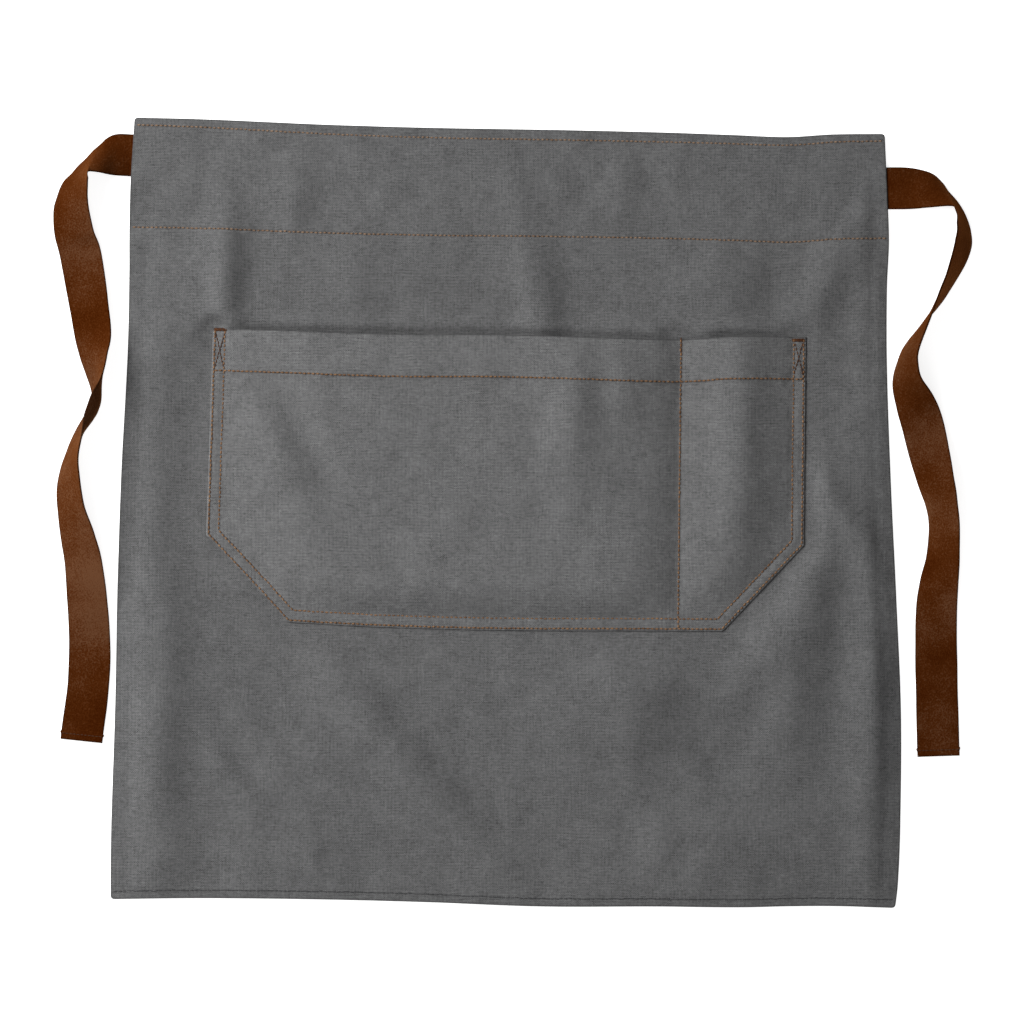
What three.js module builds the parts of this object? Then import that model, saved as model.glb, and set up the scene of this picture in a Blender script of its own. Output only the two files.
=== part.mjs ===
// Waist apron, laid face up on a level surface: a canvas skirt with a deep waistband, a patch
// pocket with two compartments, and two leather ties that leave the waistband at its sides.
// Lengths are in millimetres. +X runs to the right, +Y to the waist and +Z up.
// Tables hold shares of the named sizes. Across a cloth 0 is its left side and 1 its right
// side, and up it 0 is its lower edge and 1 its upper edge.

import * as THREE from 'three';

// Skirt
const bodyWidth = 700;
const bodyHeight = 700;
const clothThickness = 1.2;
const hemWidth = 9;
const hemThickness = 1;
const hemStep = 4;
const foldHeight = 4;
const groundLift = 1.2;
const blendHeight = 0.5;

// Waistband
const waistbandHeight = 96;
const facingThickness = 1;
const facingInset = 2;
const seamAllowance = 5;
const casingRamp = 28;
const layerGap = 0.3;

// Pocket
const pocketWidth = 536;
const pocketHeight = 266;
const pocketDrop = 185;
const pocketShift = -5;
const pocketChamferWidth = 73;
const pocketChamferHeight = 78;
const pocketRim = 11;
const pocketHemHeight = 38;
const pocketHemThickness = 1;
const smallPocketWidth = 112;
const dividerSeamWidth = 4;
const pocketBulge = 9;
const smallPocketBulge = 8;
const bulgeRun = 80;
const smallBulgeRun = 48;
const mouthBulge = 0.85;

// Ties
const tieWidth = 38;
const tieThickness = 1.6;
const tieTuck = 30;
const tieHemLength = 8;
const tieHemThickness = 1.2;
const leftTieBelowWaist = 34;
const rightTieBelowWaist = 49;
const leftTieDrop = 519;
const rightTieDrop = 503;

// Cell sizes of the faceted cloth
const skirtCell = 20;
const pocketCell = 21;
const tieStepsPerRow = 2;
const tieStrips = 4;

// Side edges of the skirt, as shares of bodyWidth from its middle
const sideEdges = [
  { up: 0, left: -0.516, right: 0.4925 },
  { up: 0.03, left: -0.516, right: 0.496 },
  { up: 0.1, left: -0.515, right: 0.499 },
  { up: 0.25, left: -0.51, right: 0.5 },
  { up: 0.4, left: -0.507, right: 0.494 },
  { up: 0.55, left: -0.502, right: 0.487 },
  { up: 0.7, left: -0.494, right: 0.482 },
  { up: 0.8, left: -0.492, right: 0.482 },
  { up: 0.86, left: -0.4917, right: 0.4845 },
  { up: 0.92, left: -0.49, right: 0.4825 },
  { up: 1, left: -0.485, right: 0.479 },
];

// Waist edge and hem edge of the skirt, as shares of bodyHeight from its middle
const endEdges = [
  { across: 0, waist: 0.507, hem: -0.4976 },
  { across: 0.1, waist: 0.5045, hem: -0.4963 },
  { across: 0.25, waist: 0.498, hem: -0.4976 },
  { across: 0.4, waist: 0.4937, hem: -0.5014 },
  { across: 0.55, waist: 0.4913, hem: -0.507 },
  { across: 0.7, waist: 0.488, hem: -0.507 },
  { across: 0.8, waist: 0.4845, hem: -0.508 },
  { across: 0.87, waist: 0.482, hem: -0.5066 },
  { across: 0.93, waist: 0.4853, hem: -0.5066 },
  { across: 1, waist: 0.486, hem: -0.509 },
];

// Folds of the skirt. x and length are shares of bodyWidth and bodyHeight from the middle,
// lean is the fold's angle from upright in degrees, towards the right going down, width is a
// share of bodyWidth, and height is a share of foldHeight.
const skirtFolds = [
  { x: -0.465, y: -0.245, lean: 0, length: 0.24, width: 0.036, height: 1 },
  { x: -0.143, y: -0.315, lean: 40, length: 0.17, width: 0.024, height: 0.6 },
  { x: 0.155, y: -0.24, lean: 4, length: 0.11, width: 0.08, height: 0.9 },
  { x: 0.386, y: -0.165, lean: -13, length: 0.14, width: 0.028, height: 0.9 },
  { x: 0.424, y: -0.006, lean: 32, length: 0.07, width: 0.014, height: 0.7 },
  { x: 0.445, y: -0.37, lean: 0, length: 0.15, width: 0.03, height: 0.8 },
  { x: 0.24, y: -0.41, lean: 0, length: 0.07, width: 0.06, height: 0.5 },
  { x: 0.406, y: 0.285, lean: -29, length: 0.06, width: 0.02, height: 0.6 },
  { x: -0.375, y: 0.32, lean: 0, length: 0.08, width: 0.018, height: 0.6 },
  { x: -0.278, y: 0.39, lean: 0, length: 0.06, width: 0.016, height: 0.3 },
  { x: 0.023, y: 0.36, lean: 11, length: 0.11, width: 0.018, height: 0.5 },
  { x: 0.15, y: 0.42, lean: 0, length: 0.06, width: 0.06, height: 0.5 },
  { x: -0.43, y: 0.3, lean: 25, length: 0.06, width: 0.016, height: 0.3 },
  { x: -0.3, y: -0.42, lean: 20, length: 0.08, width: 0.03, height: 0.4 },
];

// Edges of the pocket: side edges as shares of pocketWidth from its middle, and how far the
// mouth and the lower edge rise, as shares of pocketHeight
const pocketSides = [
  { up: 0, left: -0.504, right: 0.4995 },
  { up: 1, left: -0.4925, right: 0.503 },
];
const pocketEnds = [
  { across: 0, mouth: 0.023, lower: 0.03 },
  { across: 0.1, mouth: 0.016, lower: 0.03 },
  { across: 0.3, mouth: 0.002, lower: 0.01 },
  { across: 0.5, mouth: 0, lower: 0 },
  { across: 0.78, mouth: -0.016, lower: -0.002 },
  { across: 0.88, mouth: -0.006, lower: -0.004 },
  { across: 1, mouth: -0.007, lower: -0.006 },
];

// Folds of the pocket, in the columns of the skirt's folds, with x and y as shares of
// pocketWidth and pocketHeight from the pocket's middle and height a share of foldHeight
const pocketFolds = [
  { x: -0.37, y: 0.1, lean: 25, length: 0.13, width: 0.03, height: 0.55 },
  { x: 0.11, y: 0.3, lean: 0, length: 0.1, width: 0.06, height: 0.4 },
  { x: 0.25, y: -0.08, lean: 4, length: 0.11, width: 0.025, height: 0.4 },
  { x: 0.39, y: 0.1, lean: 0, length: 0.16, width: 0.035, height: 0.4 },
  { x: -0.16, y: -0.2, lean: -20, length: 0.12, width: 0.06, height: -0.25 },
];

// Laid paths of the ties from where they leave the waistband. out and down are shares of the
// tie's drop. turn is the angle of the width from straight down towards the skirt, tilt the
// angle at which the inner edge is raised over the outer edge, and curl the bow of the width
// as a share of it.
const leftTieRows = [
  { out: 0, down: 0, turn: 0, tilt: 0, curl: 0 },
  { out: 0.01, down: 0, turn: 0, tilt: 0, curl: 0 },
  { out: 0.028, down: -0.001, turn: -3, tilt: 12, curl: 0 },
  { out: 0.049, down: 0.001, turn: -8, tilt: 34, curl: 0.02 },
  { out: 0.066, down: 0.007, turn: -16, tilt: 50, curl: 0.03 },
  { out: 0.077, down: 0.019, turn: 12, tilt: 68, curl: 0.02 },
  { out: 0.088, down: 0.035, turn: 64, tilt: 65, curl: 0.02 },
  { out: 0.097, down: 0.052, turn: 76, tilt: 51, curl: 0 },
  { out: 0.103, down: 0.074, turn: 88, tilt: 40, curl: 0 },
  { out: 0.105, down: 0.097, turn: 93, tilt: 29, curl: 0 },
  { out: 0.1, down: 0.135, turn: 96, tilt: 18, curl: 0 },
  { out: 0.088, down: 0.179, turn: 98, tilt: 8, curl: 0 },
  { out: 0.069, down: 0.299, turn: 95, tilt: 25, curl: 0.02 },
  { out: 0.066, down: 0.347, turn: 92, tilt: 46, curl: 0.06 },
  { out: 0.065, down: 0.384, turn: 88, tilt: 66, curl: 0.14 },
  { out: 0.069, down: 0.416, turn: 78, tilt: 88, curl: 0.22 },
  { out: 0.076, down: 0.437, turn: 74, tilt: 90, curl: 0.25 },
  { out: 0.083, down: 0.454, turn: 73, tilt: 87, curl: 0.22 },
  { out: 0.091, down: 0.481, turn: 74, tilt: 78, curl: 0.08 },
  { out: 0.101, down: 0.512, turn: 80, tilt: 72, curl: 0.02 },
  { out: 0.107, down: 0.545, turn: 87, tilt: 62, curl: 0 },
  { out: 0.108, down: 0.582, turn: 94, tilt: 52, curl: 0 },
  { out: 0.104, down: 0.617, turn: 100, tilt: 46, curl: 0 },
  { out: 0.093, down: 0.664, turn: 103, tilt: 33, curl: 0 },
  { out: 0.083, down: 0.715, turn: 99, tilt: 24, curl: 0 },
  { out: 0.074, down: 0.83, turn: 90, tilt: 8, curl: 0 },
  { out: 0.076, down: 0.917, turn: 86, tilt: 4, curl: 0 },
  { out: 0.0865, down: 1, turn: 84, tilt: 2, curl: 0 },
];
const rightTieRows = [
  { out: 0, down: 0, turn: 0, tilt: 0, curl: 0 },
  { out: 0.01, down: 0, turn: 0, tilt: 0, curl: 0 },
  { out: 0.034, down: 0, turn: -4, tilt: 8, curl: 0 },
  { out: 0.065, down: 0.001, turn: -9, tilt: 22, curl: 0 },
  { out: 0.091, down: 0.004, turn: -15, tilt: 37, curl: 0.02 },
  { out: 0.108, down: 0.012, turn: -21, tilt: 51, curl: 0.03 },
  { out: 0.115, down: 0.023, turn: -12, tilt: 64, curl: 0.03 },
  { out: 0.125, down: 0.038, turn: 16, tilt: 72, curl: 0.02 },
  { out: 0.132, down: 0.058, turn: 58, tilt: 72, curl: 0.02 },
  { out: 0.136, down: 0.077, turn: 86, tilt: 69, curl: 0 },
  { out: 0.135, down: 0.099, turn: 103, tilt: 64, curl: 0 },
  { out: 0.127, down: 0.127, turn: 108, tilt: 66, curl: 0 },
  { out: 0.112, down: 0.162, turn: 111, tilt: 73, curl: 0 },
  { out: 0.093, down: 0.199, turn: 115, tilt: 80, curl: 0.02 },
  { out: 0.074, down: 0.232, turn: 118, tilt: 90, curl: 0.04 },
  { out: 0.044, down: 0.283, turn: 103, tilt: 107, curl: 0.05 },
  { out: 0.035, down: 0.315, turn: 93, tilt: 118, curl: 0.04 },
  { out: 0.035, down: 0.345, turn: 80, tilt: 133, curl: 0.02 },
  { out: 0.049, down: 0.381, turn: 75, tilt: 155, curl: 0 },
  { out: 0.063, down: 0.421, turn: 74, tilt: 170, curl: 0 },
  { out: 0.075, down: 0.474, turn: 78, tilt: 161, curl: 0 },
  { out: 0.086, down: 0.522, turn: 80, tilt: 148, curl: 0 },
  { out: 0.096, down: 0.564, turn: 84, tilt: 137, curl: 0 },
  { out: 0.101, down: 0.601, turn: 90, tilt: 134, curl: 0 },
  { out: 0.099, down: 0.659, turn: 94, tilt: 139, curl: 0 },
  { out: 0.092, down: 0.708, turn: 94, tilt: 153, curl: 0 },
  { out: 0.088, down: 0.759, turn: 92, tilt: 166, curl: 0 },
  { out: 0.088, down: 0.85, turn: 90, tilt: 174, curl: 0 },
  { out: 0.0915, down: 1, turn: 88, tilt: 178, curl: 0 },
];

const canvas = new THREE.MeshStandardMaterial({ color: 0x646464, roughness: 0.92, metalness: 0 });
const pocketCanvas = new THREE.MeshStandardMaterial({ color: 0x6c6c6c, roughness: 0.92, metalness: 0 });
const leather = new THREE.MeshStandardMaterial({ color: 0x4a240d, roughness: 0.6, metalness: 0 });

const { lerp, smoothstep, clamp, degToRad } = THREE.MathUtils;

// The greater of two heights, with a rounded change from one to the other. It is never less
// than either.
function roundedMax(a, b) {
  return (a + b + Math.hypot(a - b, blendHeight)) / 2;
}

// Value of one column of a table between its rows, on a smooth curve through the rows
function columnAt(rows, key, column, at) {
  let i = rows.findIndex((row) => row[key] >= at);
  i = i < 0 ? rows.length - 1 : Math.max(i, 1);
  const before = rows[Math.max(i - 2, 0)];
  const start = rows[i - 1];
  const end = rows[i];
  const after = rows[Math.min(i + 1, rows.length - 1)];
  const span = end[key] - start[key];
  const share = (at - start[key]) / span;
  const startSlope = (end[column] - before[column]) / (end[key] - before[key]);
  const endSlope = (after[column] - start[column]) / (after[key] - start[key]);
  const rise = end[column] - start[column];
  const bend = share * (1 - share);
  return start[column] + rise * share
    + bend * ((1 - share) * (startSlope * span - rise) - share * (endSlope * span - rise));
}

// Sum of the rounded folds of a table at a point of a cloth of the given size
function foldsAt(folds, x, y, width, height) {
  let sum = 0;
  for (const fold of folds) {
    const lean = degToRad(fold.lean);
    const dx = x - fold.x * width;
    const dy = y - fold.y * height;
    const along = (dx * Math.sin(lean) - dy * Math.cos(lean)) / (fold.length * height);
    const side = (dx * Math.cos(lean) + dy * Math.sin(lean)) / (fold.width * width);
    sum += fold.height * foldHeight * Math.exp(-along * along - side * side);
  }
  return sum;
}

// Evenly spaced values from one to another, in steps of at most the given length
function evenly(from, to, step) {
  const count = Math.ceil((to - from) / step);
  return Array.from({ length: count + 1 }, (_, i) => lerp(from, to, i / count));
}

// Closed solid between two grids of points, the upper one above the lower one
function sheetSolid(across, up, upper, lower) {
  const positions = [];
  for (const surface of [upper, lower]) {
    for (const b of up) {
      for (const a of across) {
        positions.push(...surface(a, b));
      }
    }
  }
  const columns = across.length;
  const layer = columns * up.length;
  const index = [];
  const quad = (p, q, r, s) => index.push(p, q, r, p, r, s);
  for (let j = 0; j + 1 < up.length; j++) {
    for (let i = 0; i + 1 < columns; i++) {
      const p = j * columns + i;
      quad(p, p + 1, p + 1 + columns, p + columns);
      quad(layer + p, layer + p + columns, layer + p + 1 + columns, layer + p + 1);
    }
  }
  for (let i = 0; i + 1 < columns; i++) {
    const top = (up.length - 1) * columns + i;
    quad(layer + i, layer + i + 1, i + 1, i);
    quad(top, top + 1, layer + top + 1, layer + top);
  }
  for (let j = 0; j + 1 < up.length; j++) {
    const left = j * columns;
    const right = left + columns - 1;
    quad(layer + left, left, left + columns, layer + left + columns);
    quad(right, layer + right, layer + right + columns, right + columns);
  }
  return closedGeometry(positions, index);
}

// Closed solid through a row of rings with as many points each, capped at both ends
function ringSolid(rings) {
  const size = rings[0].length;
  const index = [];
  for (let k = 0; k + 1 < rings.length; k++) {
    for (let i = 0; i < size; i++) {
      const p = k * size + i;
      const q = k * size + (i + 1) % size;
      index.push(p, q, q + size, p, q + size, p + size);
    }
  }
  const last = (rings.length - 1) * size;
  const half = size / 2;
  for (let i = 0; i + 1 < half; i++) {
    const far = size - 1 - i;
    index.push(i, far, far - 1, i, far - 1, i + 1);
    index.push(last + i, last + far - 1, last + far, last + i, last + i + 1, last + far - 1);
  }
  return closedGeometry(rings.flat(2), index);
}

function closedGeometry(positions, index) {
  const geometry = new THREE.BufferGeometry();
  geometry.setAttribute('position', new THREE.Float32BufferAttribute(positions, 3));
  geometry.setIndex(index);
  geometry.computeVertexNormals();
  return geometry;
}

// Plan of the skirt
function skirtPoint(a, b) {
  const left = columnAt(sideEdges, 'up', 'left', b) * bodyWidth;
  const right = columnAt(sideEdges, 'up', 'right', b) * bodyWidth;
  const hem = columnAt(endEdges, 'across', 'hem', a) * bodyHeight;
  return [lerp(left, right, a), lerp(hem, waistAt(a), b)];
}

function waistAt(a) {
  return columnAt(endEdges, 'across', 'waist', a) * bodyHeight;
}

// Plan of the pocket
const pocketMouth = waistAt(0.5) - pocketDrop;
const dividerX = pocketShift + pocketWidth / 2 - smallPocketWidth;
const chamferSlope = pocketChamferHeight / pocketChamferWidth;

function pocketSideX(side, b) {
  return pocketShift + columnAt(pocketSides, 'up', side, b) * pocketWidth;
}

function pocketLowerY(a) {
  const fromSide = Math.min(a, 1 - a) * pocketWidth;
  const level = pocketMouth - pocketHeight * (1 - columnAt(pocketEnds, 'across', 'lower', a));
  return level + Math.max(pocketChamferWidth - fromSide, 0) * chamferSlope;
}

function pocketMouthY(a) {
  return pocketMouth + pocketHeight * columnAt(pocketEnds, 'across', 'mouth', a);
}

function pocketPoint(a, b) {
  const x = lerp(pocketSideX('left', b), pocketSideX('right', b), a);
  return [x, lerp(pocketLowerY(a), pocketMouthY(a), b)];
}

const pocketOutline = [
  [0, 1], [0, 0], [pocketChamferWidth / pocketWidth, 0],
  [1 - pocketChamferWidth / pocketWidth, 0], [1, 0], [1, 1],
].map(([a, b]) => new THREE.Vector2(...pocketPoint(a, b)));

// Distance from a point to the pocket, which is 0 on the pocket
function distanceToPocket(x, y) {
  const point = new THREE.Vector2(x, y);
  const nearest = new THREE.Vector2();
  let inside = true;
  let distance = Infinity;
  pocketOutline.forEach((start, i) => {
    const end = pocketOutline[(i + 1) % pocketOutline.length];
    const run = end.clone().sub(start);
    const share = clamp(point.clone().sub(start).dot(run) / run.lengthSq(), 0, 1);
    nearest.copy(start).addScaledVector(run, share);
    distance = Math.min(distance, nearest.distanceTo(point));
    inside = inside && run.cross(point.clone().sub(start)) >= 0;
  });
  return inside ? 0 : distance;
}

// Places where the ties leave the waistband
const ties = [
  { name: 'tie_left', side: 'left', outward: -1, below: leftTieBelowWaist, drop: leftTieDrop,
    rows: leftTieRows },
  { name: 'tie_right', side: 'right', outward: 1, below: rightTieBelowWaist, drop: rightTieDrop,
    rows: rightTieRows },
];
for (const tie of ties) {
  const a = tie.outward < 0 ? 0 : 1;
  const up = 1 - tie.below / bodyHeight;
  tie.exitX = columnAt(sideEdges, 'up', tie.side, up) * bodyWidth;
  tie.exitY = waistAt(a) - tie.below;
}

// Height of the skirt's underside: over the facing and the tucked ties, flat under the
// pocket, and in low folds elsewhere
const tieLayer = facingThickness + layerGap;
const coverLift = tieThickness + layerGap;

function casingLift(x, y, a) {
  const belowFacing = waistAt(a) - waistbandHeight - seamAllowance - skirtCell - y;
  const overFacing = tieLayer * (1 - smoothstep(belowFacing, 0, casingRamp));
  let overTie = 0;
  for (const tie of ties) {
    const inward = Math.abs(x - tie.exitX) - tieTuck - skirtCell;
    const aside = Math.abs(y - tie.exitY) - tieWidth / 2 - skirtCell;
    const beyond = Math.hypot(Math.max(inward, 0), Math.max(aside, 0));
    overTie += coverLift * (1 - smoothstep(beyond, 0, casingRamp));
  }
  return overFacing + overTie;
}

function skirtUnderside(a, b) {
  const [x, y] = skirtPoint(a, b);
  const folds = groundLift + foldsAt(skirtFolds, x, y, bodyWidth, bodyHeight);
  const free = smoothstep(distanceToPocket(x, y), skirtCell, skirtCell + casingRamp);
  const lift = casingLift(x, y, a);
  return [x, y, Math.max(roundedMax(folds, 0) * free, lift)];
}

// The side hems stop at the waistband, where the facing takes their place
function skirtThickness(a, b) {
  const [, y] = skirtPoint(a, b);
  const fromSide = Math.min(a, 1 - a) * bodyWidth;
  const fromHem = b * bodyHeight;
  const underWaistband = waistAt(a) - waistbandHeight - y;
  const side = 1 - smoothstep(fromSide, hemWidth, hemWidth + hemStep);
  const bottom = 1 - smoothstep(fromHem, hemWidth, hemWidth + hemStep);
  const hem = Math.max(side * smoothstep(underWaistband, 0, skirtCell), bottom);
  return clothThickness + hemThickness * hem;
}

function bodyPanel() {
  const side = [hemWidth, hemWidth + hemStep].map((length) => length / bodyWidth);
  const hem = [hemWidth, hemWidth + hemStep].map((length) => length / bodyHeight);
  const across = [0, side[0], ...evenly(side[1], 1 - side[1], skirtCell / bodyWidth), 1 - side[0], 1];
  const up = [0, hem[0], ...evenly(hem[1], 1, skirtCell / bodyHeight)];
  const upper = (a, b) => {
    const [x, y, z] = skirtUnderside(a, b);
    return [x, y, z + skirtThickness(a, b)];
  };
  return sheetSolid(across, up, upper, skirtUnderside);
}

// The facing is flat and a little smaller than the waistband that it backs
function waistbandFacing() {
  const depth = waistbandHeight + seamAllowance;
  const point = (z) => (a, b) => {
    const y = waistAt(a) - facingInset - (depth - facingInset) * (1 - b);
    const up = 1 - (waistAt(a) - y) / bodyHeight;
    const left = columnAt(sideEdges, 'up', 'left', up) * bodyWidth + facingInset;
    const right = columnAt(sideEdges, 'up', 'right', up) * bodyWidth - facingInset;
    return [lerp(left, right, a), y, z];
  };
  const across = evenly(0, 1, 2 * skirtCell / bodyWidth);
  const up = evenly(0, 1, skirtCell / depth);
  return sheetSolid(across, up, point(facingThickness), point(0));
}

// Rise of a bulge from a seam: steep at the seam and level at the end of its run
function bulgeShare(fromSeam, run) {
  const rest = 1 - clamp(fromSeam / run, 0, 1);
  return 1 - rest * rest;
}

// Height of the pocket's underside over the skirt, which is 0 along the sewn rim and the
// divider seam
function pocketRise(a, b) {
  const [x, y] = pocketPoint(a, b);
  const small = x > dividerX;
  const run = small ? smallBulgeRun : bulgeRun;
  const height = small ? smallPocketBulge : pocketBulge;
  const fromDivider = Math.abs(x - dividerX) - dividerSeamWidth / 2;
  const fromLeft = small ? fromDivider : x - pocketSideX('left', b) - pocketRim;
  const fromRight = small ? pocketSideX('right', b) - x - pocketRim : fromDivider;
  const onChamfer = Math.min(a, 1 - a) * pocketWidth < pocketChamferWidth;
  const fromBottom = (y - pocketLowerY(a)) / Math.hypot(1, onChamfer ? chamferSlope : 0) - pocketRim;
  const seams = bulgeShare(fromLeft, run) * bulgeShare(fromRight, run) * bulgeShare(fromBottom, run);
  const mouth = lerp(mouthBulge, 1, smoothstep(pocketMouthY(a) - y, 0, pocketHemHeight));
  const centreY = pocketMouth - pocketHeight / 2;
  const folds = foldsAt(pocketFolds, x - pocketShift, y - centreY, pocketWidth, pocketHeight);
  return seams * (height * mouth + folds);
}

function pocketPanel() {
  const rim = pocketRim / pocketWidth;
  const divider = 1 - smallPocketWidth / pocketWidth;
  const seam = dividerSeamWidth / 2 / pocketWidth;
  const cell = pocketCell / pocketWidth;
  const across = [
    0, ...evenly(rim, divider - seam, cell), divider,
    ...evenly(divider + seam, 1 - rim, cell), 1,
  ];
  const hem = 1 - pocketHemHeight / pocketHeight;
  const hemEnd = hem - hemStep / pocketHeight;
  const up = [0, ...evenly(pocketRim / pocketHeight, hemEnd, pocketCell / pocketHeight),
    ...evenly(hem, 1, pocketCell / pocketHeight)];
  const lower = (a, b) => {
    const [x, y] = pocketPoint(a, b);
    return [x, y, clothThickness + layerGap + pocketRise(a, b)];
  };
  const upper = (a, b) => {
    const [x, y, z] = lower(a, b);
    const hemShare = smoothstep(b, hemEnd, hem);
    return [x, y, z + clothThickness + pocketHemThickness * hemShare];
  };
  return sheetSolid(across, up, upper, lower);
}

// Ring round a tie at one place of its path, with its lowest point at the given height
function tieRing({ x, y, turn, tilt, curl }, outward, thickness, lift) {
  const plan = new THREE.Vector2(-outward * Math.sin(turn), -Math.cos(turn));
  const ruling = new THREE.Vector3(plan.x * Math.cos(tilt), plan.y * Math.cos(tilt), Math.sin(tilt));
  const face = new THREE.Vector3(-plan.x * Math.sin(tilt), -plan.y * Math.sin(tilt), Math.cos(tilt));
  const chord = tieWidth * Math.sqrt(1 - 16 / 3 * curl * curl);
  const upper = [];
  const lower = [];
  for (let i = 0; i <= tieStrips; i++) {
    const q = i / tieStrips - 0.5;
    const bow = -curl * tieWidth * (1 - 4 * q * q);
    const middle = new THREE.Vector3(x, y, 0).addScaledVector(ruling, q * chord).addScaledVector(face, bow);
    upper.push(middle.clone().addScaledVector(face, thickness / 2));
    lower.unshift(middle.clone().addScaledVector(face, -thickness / 2));
  }
  const ring = [...upper, ...lower];
  const lowest = Math.min(...ring.map((point) => point.z));
  return ring.map((point) => [point.x, point.y, point.z - lowest + lift]);
}

function tieStrap({ outward, drop, rows, exitX, exitY }) {
  const place = (out, down, turn, tilt, curl) => ({
    x: exitX + outward * out * drop,
    y: exitY - down * drop,
    turn: degToRad(turn),
    tilt: degToRad(tilt),
    curl,
  });
  const rings = [-tieTuck, -tieTuck / 2].map((inside) =>
    tieRing(place(inside / drop, 0, 0, 0, 0), outward, tieThickness, tieLayer));
  const numbered = rows.map((row, at) => ({ at, ...row }));
  const steps = (rows.length - 1) * tieStepsPerRow;
  let end;
  for (let k = 0; k <= steps; k++) {
    const at = k / tieStepsPerRow;
    const value = (column) => columnAt(numbered, 'at', column, at);
    end = place(value('out'), value('down'), value('turn'), value('tilt'), value('curl'));
    const lift = tieLayer * (1 - smoothstep(value('out') * drop, seamAllowance, tieWidth));
    rings.push(tieRing(end, outward, tieThickness, lift));
  }
  const forward = new THREE.Vector2(outward * Math.cos(end.turn), -Math.sin(end.turn));
  for (const length of [tieThickness / 2, tieHemLength]) {
    const spot = { ...end, x: end.x + forward.x * length, y: end.y + forward.y * length };
    rings.push(tieRing(spot, outward, tieThickness + tieHemThickness, 0));
  }
  return ringSolid(outward > 0 ? rings : rings.map((ring) => ring.slice().reverse()));
}

function pieceMesh(name, geometry, material) {
  const mesh = new THREE.Mesh(geometry, material);
  mesh.name = name;
  return mesh;
}

const apron = new THREE.Group();
apron.add(pieceMesh('body_panel', bodyPanel(), canvas));
apron.add(pieceMesh('waistband_facing', waistbandFacing(), canvas));
apron.add(pieceMesh('pocket_panel', pocketPanel(), pocketCanvas));
for (const tie of ties) {
  apron.add(pieceMesh(tie.name, tieStrap(tie), leather));
}

// The origin is under the middle of the whole apron, on the surface that it lies on
const box = new THREE.Box3().setFromObject(apron);
const middle = box.getCenter(new THREE.Vector3());
apron.position.set(-middle.x, -middle.y, -box.min.z);

export default apron;
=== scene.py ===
# Looks of the waist apron: a canvas skirt with a waistband, a stitched patch pocket with two
# compartments, and two leather ties. Shapes are worked out in the millimetres of the CAD
# source and placed in the shared frame, in metres.

import math

import bpy
import numpy as np
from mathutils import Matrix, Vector


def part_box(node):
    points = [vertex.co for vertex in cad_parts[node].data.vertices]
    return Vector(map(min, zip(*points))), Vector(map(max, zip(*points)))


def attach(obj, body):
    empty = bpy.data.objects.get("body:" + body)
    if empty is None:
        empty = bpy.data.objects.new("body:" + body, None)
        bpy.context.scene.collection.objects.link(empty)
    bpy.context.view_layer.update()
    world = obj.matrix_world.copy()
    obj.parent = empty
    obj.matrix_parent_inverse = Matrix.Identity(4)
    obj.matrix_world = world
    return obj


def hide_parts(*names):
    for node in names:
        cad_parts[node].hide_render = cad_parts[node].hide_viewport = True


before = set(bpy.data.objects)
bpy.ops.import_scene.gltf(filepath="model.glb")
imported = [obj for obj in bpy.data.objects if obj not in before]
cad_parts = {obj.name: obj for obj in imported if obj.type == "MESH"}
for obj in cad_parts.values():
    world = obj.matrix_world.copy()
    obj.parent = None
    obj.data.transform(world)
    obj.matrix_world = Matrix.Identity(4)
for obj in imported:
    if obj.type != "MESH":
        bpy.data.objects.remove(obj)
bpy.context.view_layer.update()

# Sizes of the CAD source, in millimetres
BODY_WIDTH = 700
BODY_HEIGHT = 700
CLOTH = 1.2
HEM_WIDTH = 9
HEM_EXTRA = 1.0
HEM_STEP = 4
BLEND_HEIGHT = 0.5
WAISTBAND_HEIGHT = 96
FACING_THICKNESS = 1.0
FACING_INSET = 2
SEAM_ALLOWANCE = 5
CASING_RAMP = 28
LAYER_GAP = 0.3
POCKET_WIDTH = 536
POCKET_HEIGHT = 266
POCKET_DROP = 185
POCKET_SHIFT = -5
CHAMFER_WIDTH = 73
CHAMFER_HEIGHT = 78
POCKET_RIM = 11
POCKET_HEM_HEIGHT = 38
POCKET_HEM_EXTRA = 1.0
SMALL_POCKET_WIDTH = 112
DIVIDER_SEAM = 4
POCKET_BULGE = 9
SMALL_POCKET_BULGE = 8
MOUTH_BULGE = 0.85
TIE_WIDTH = 38
TIE_THICKNESS = 1.6
TIE_TUCK = 30
TIE_HEM_LENGTH = 8
TIE_HEM_EXTRA = 1.2
LEFT_TIE_BELOW = 34
RIGHT_TIE_BELOW = 49
LEFT_TIE_DROP = 519
RIGHT_TIE_DROP = 503

# Finish, in millimetres, and shares of the folds left at the skirt's edges
SKIRT_CELL = 3.5
POCKET_CELL = 2.4
FACING_CELL = 9
TIE_STEPS = 9
TIE_CELL = 2.4
GRID_MARGIN = 3
POCKET_MARGIN = 2.4
FIELD_POINTS = 97
FOLD_RISE = 7.4
REST_LIFT = 1.7
RIB_OF_PICKS = 2.8
RIB_OF_ENDS = 3.3
CORNER_RADIUS = 3.0
CASING_MARGIN = 20
SIDE_CALM = 26
HEM_CALM = 16
SIDE_FOLDS = 0.3
HEM_FOLDS = 0.5
RIDGE_HEIGHT = 2.6
RIDGE_OVER_MOUTH = 8.5
RIDGE_WIDTH = 6
SEWN_REACH = {"left": 56, "right": 24, "mouth": 16}
SEWN_EASE = (150, 260)
SEAM_RUNS = {"left": 84, "right": 52, "bottom": 32, "chamfer": 62, "divider": 50, "small": 46}
RIM_RISE = 0.28

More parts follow.
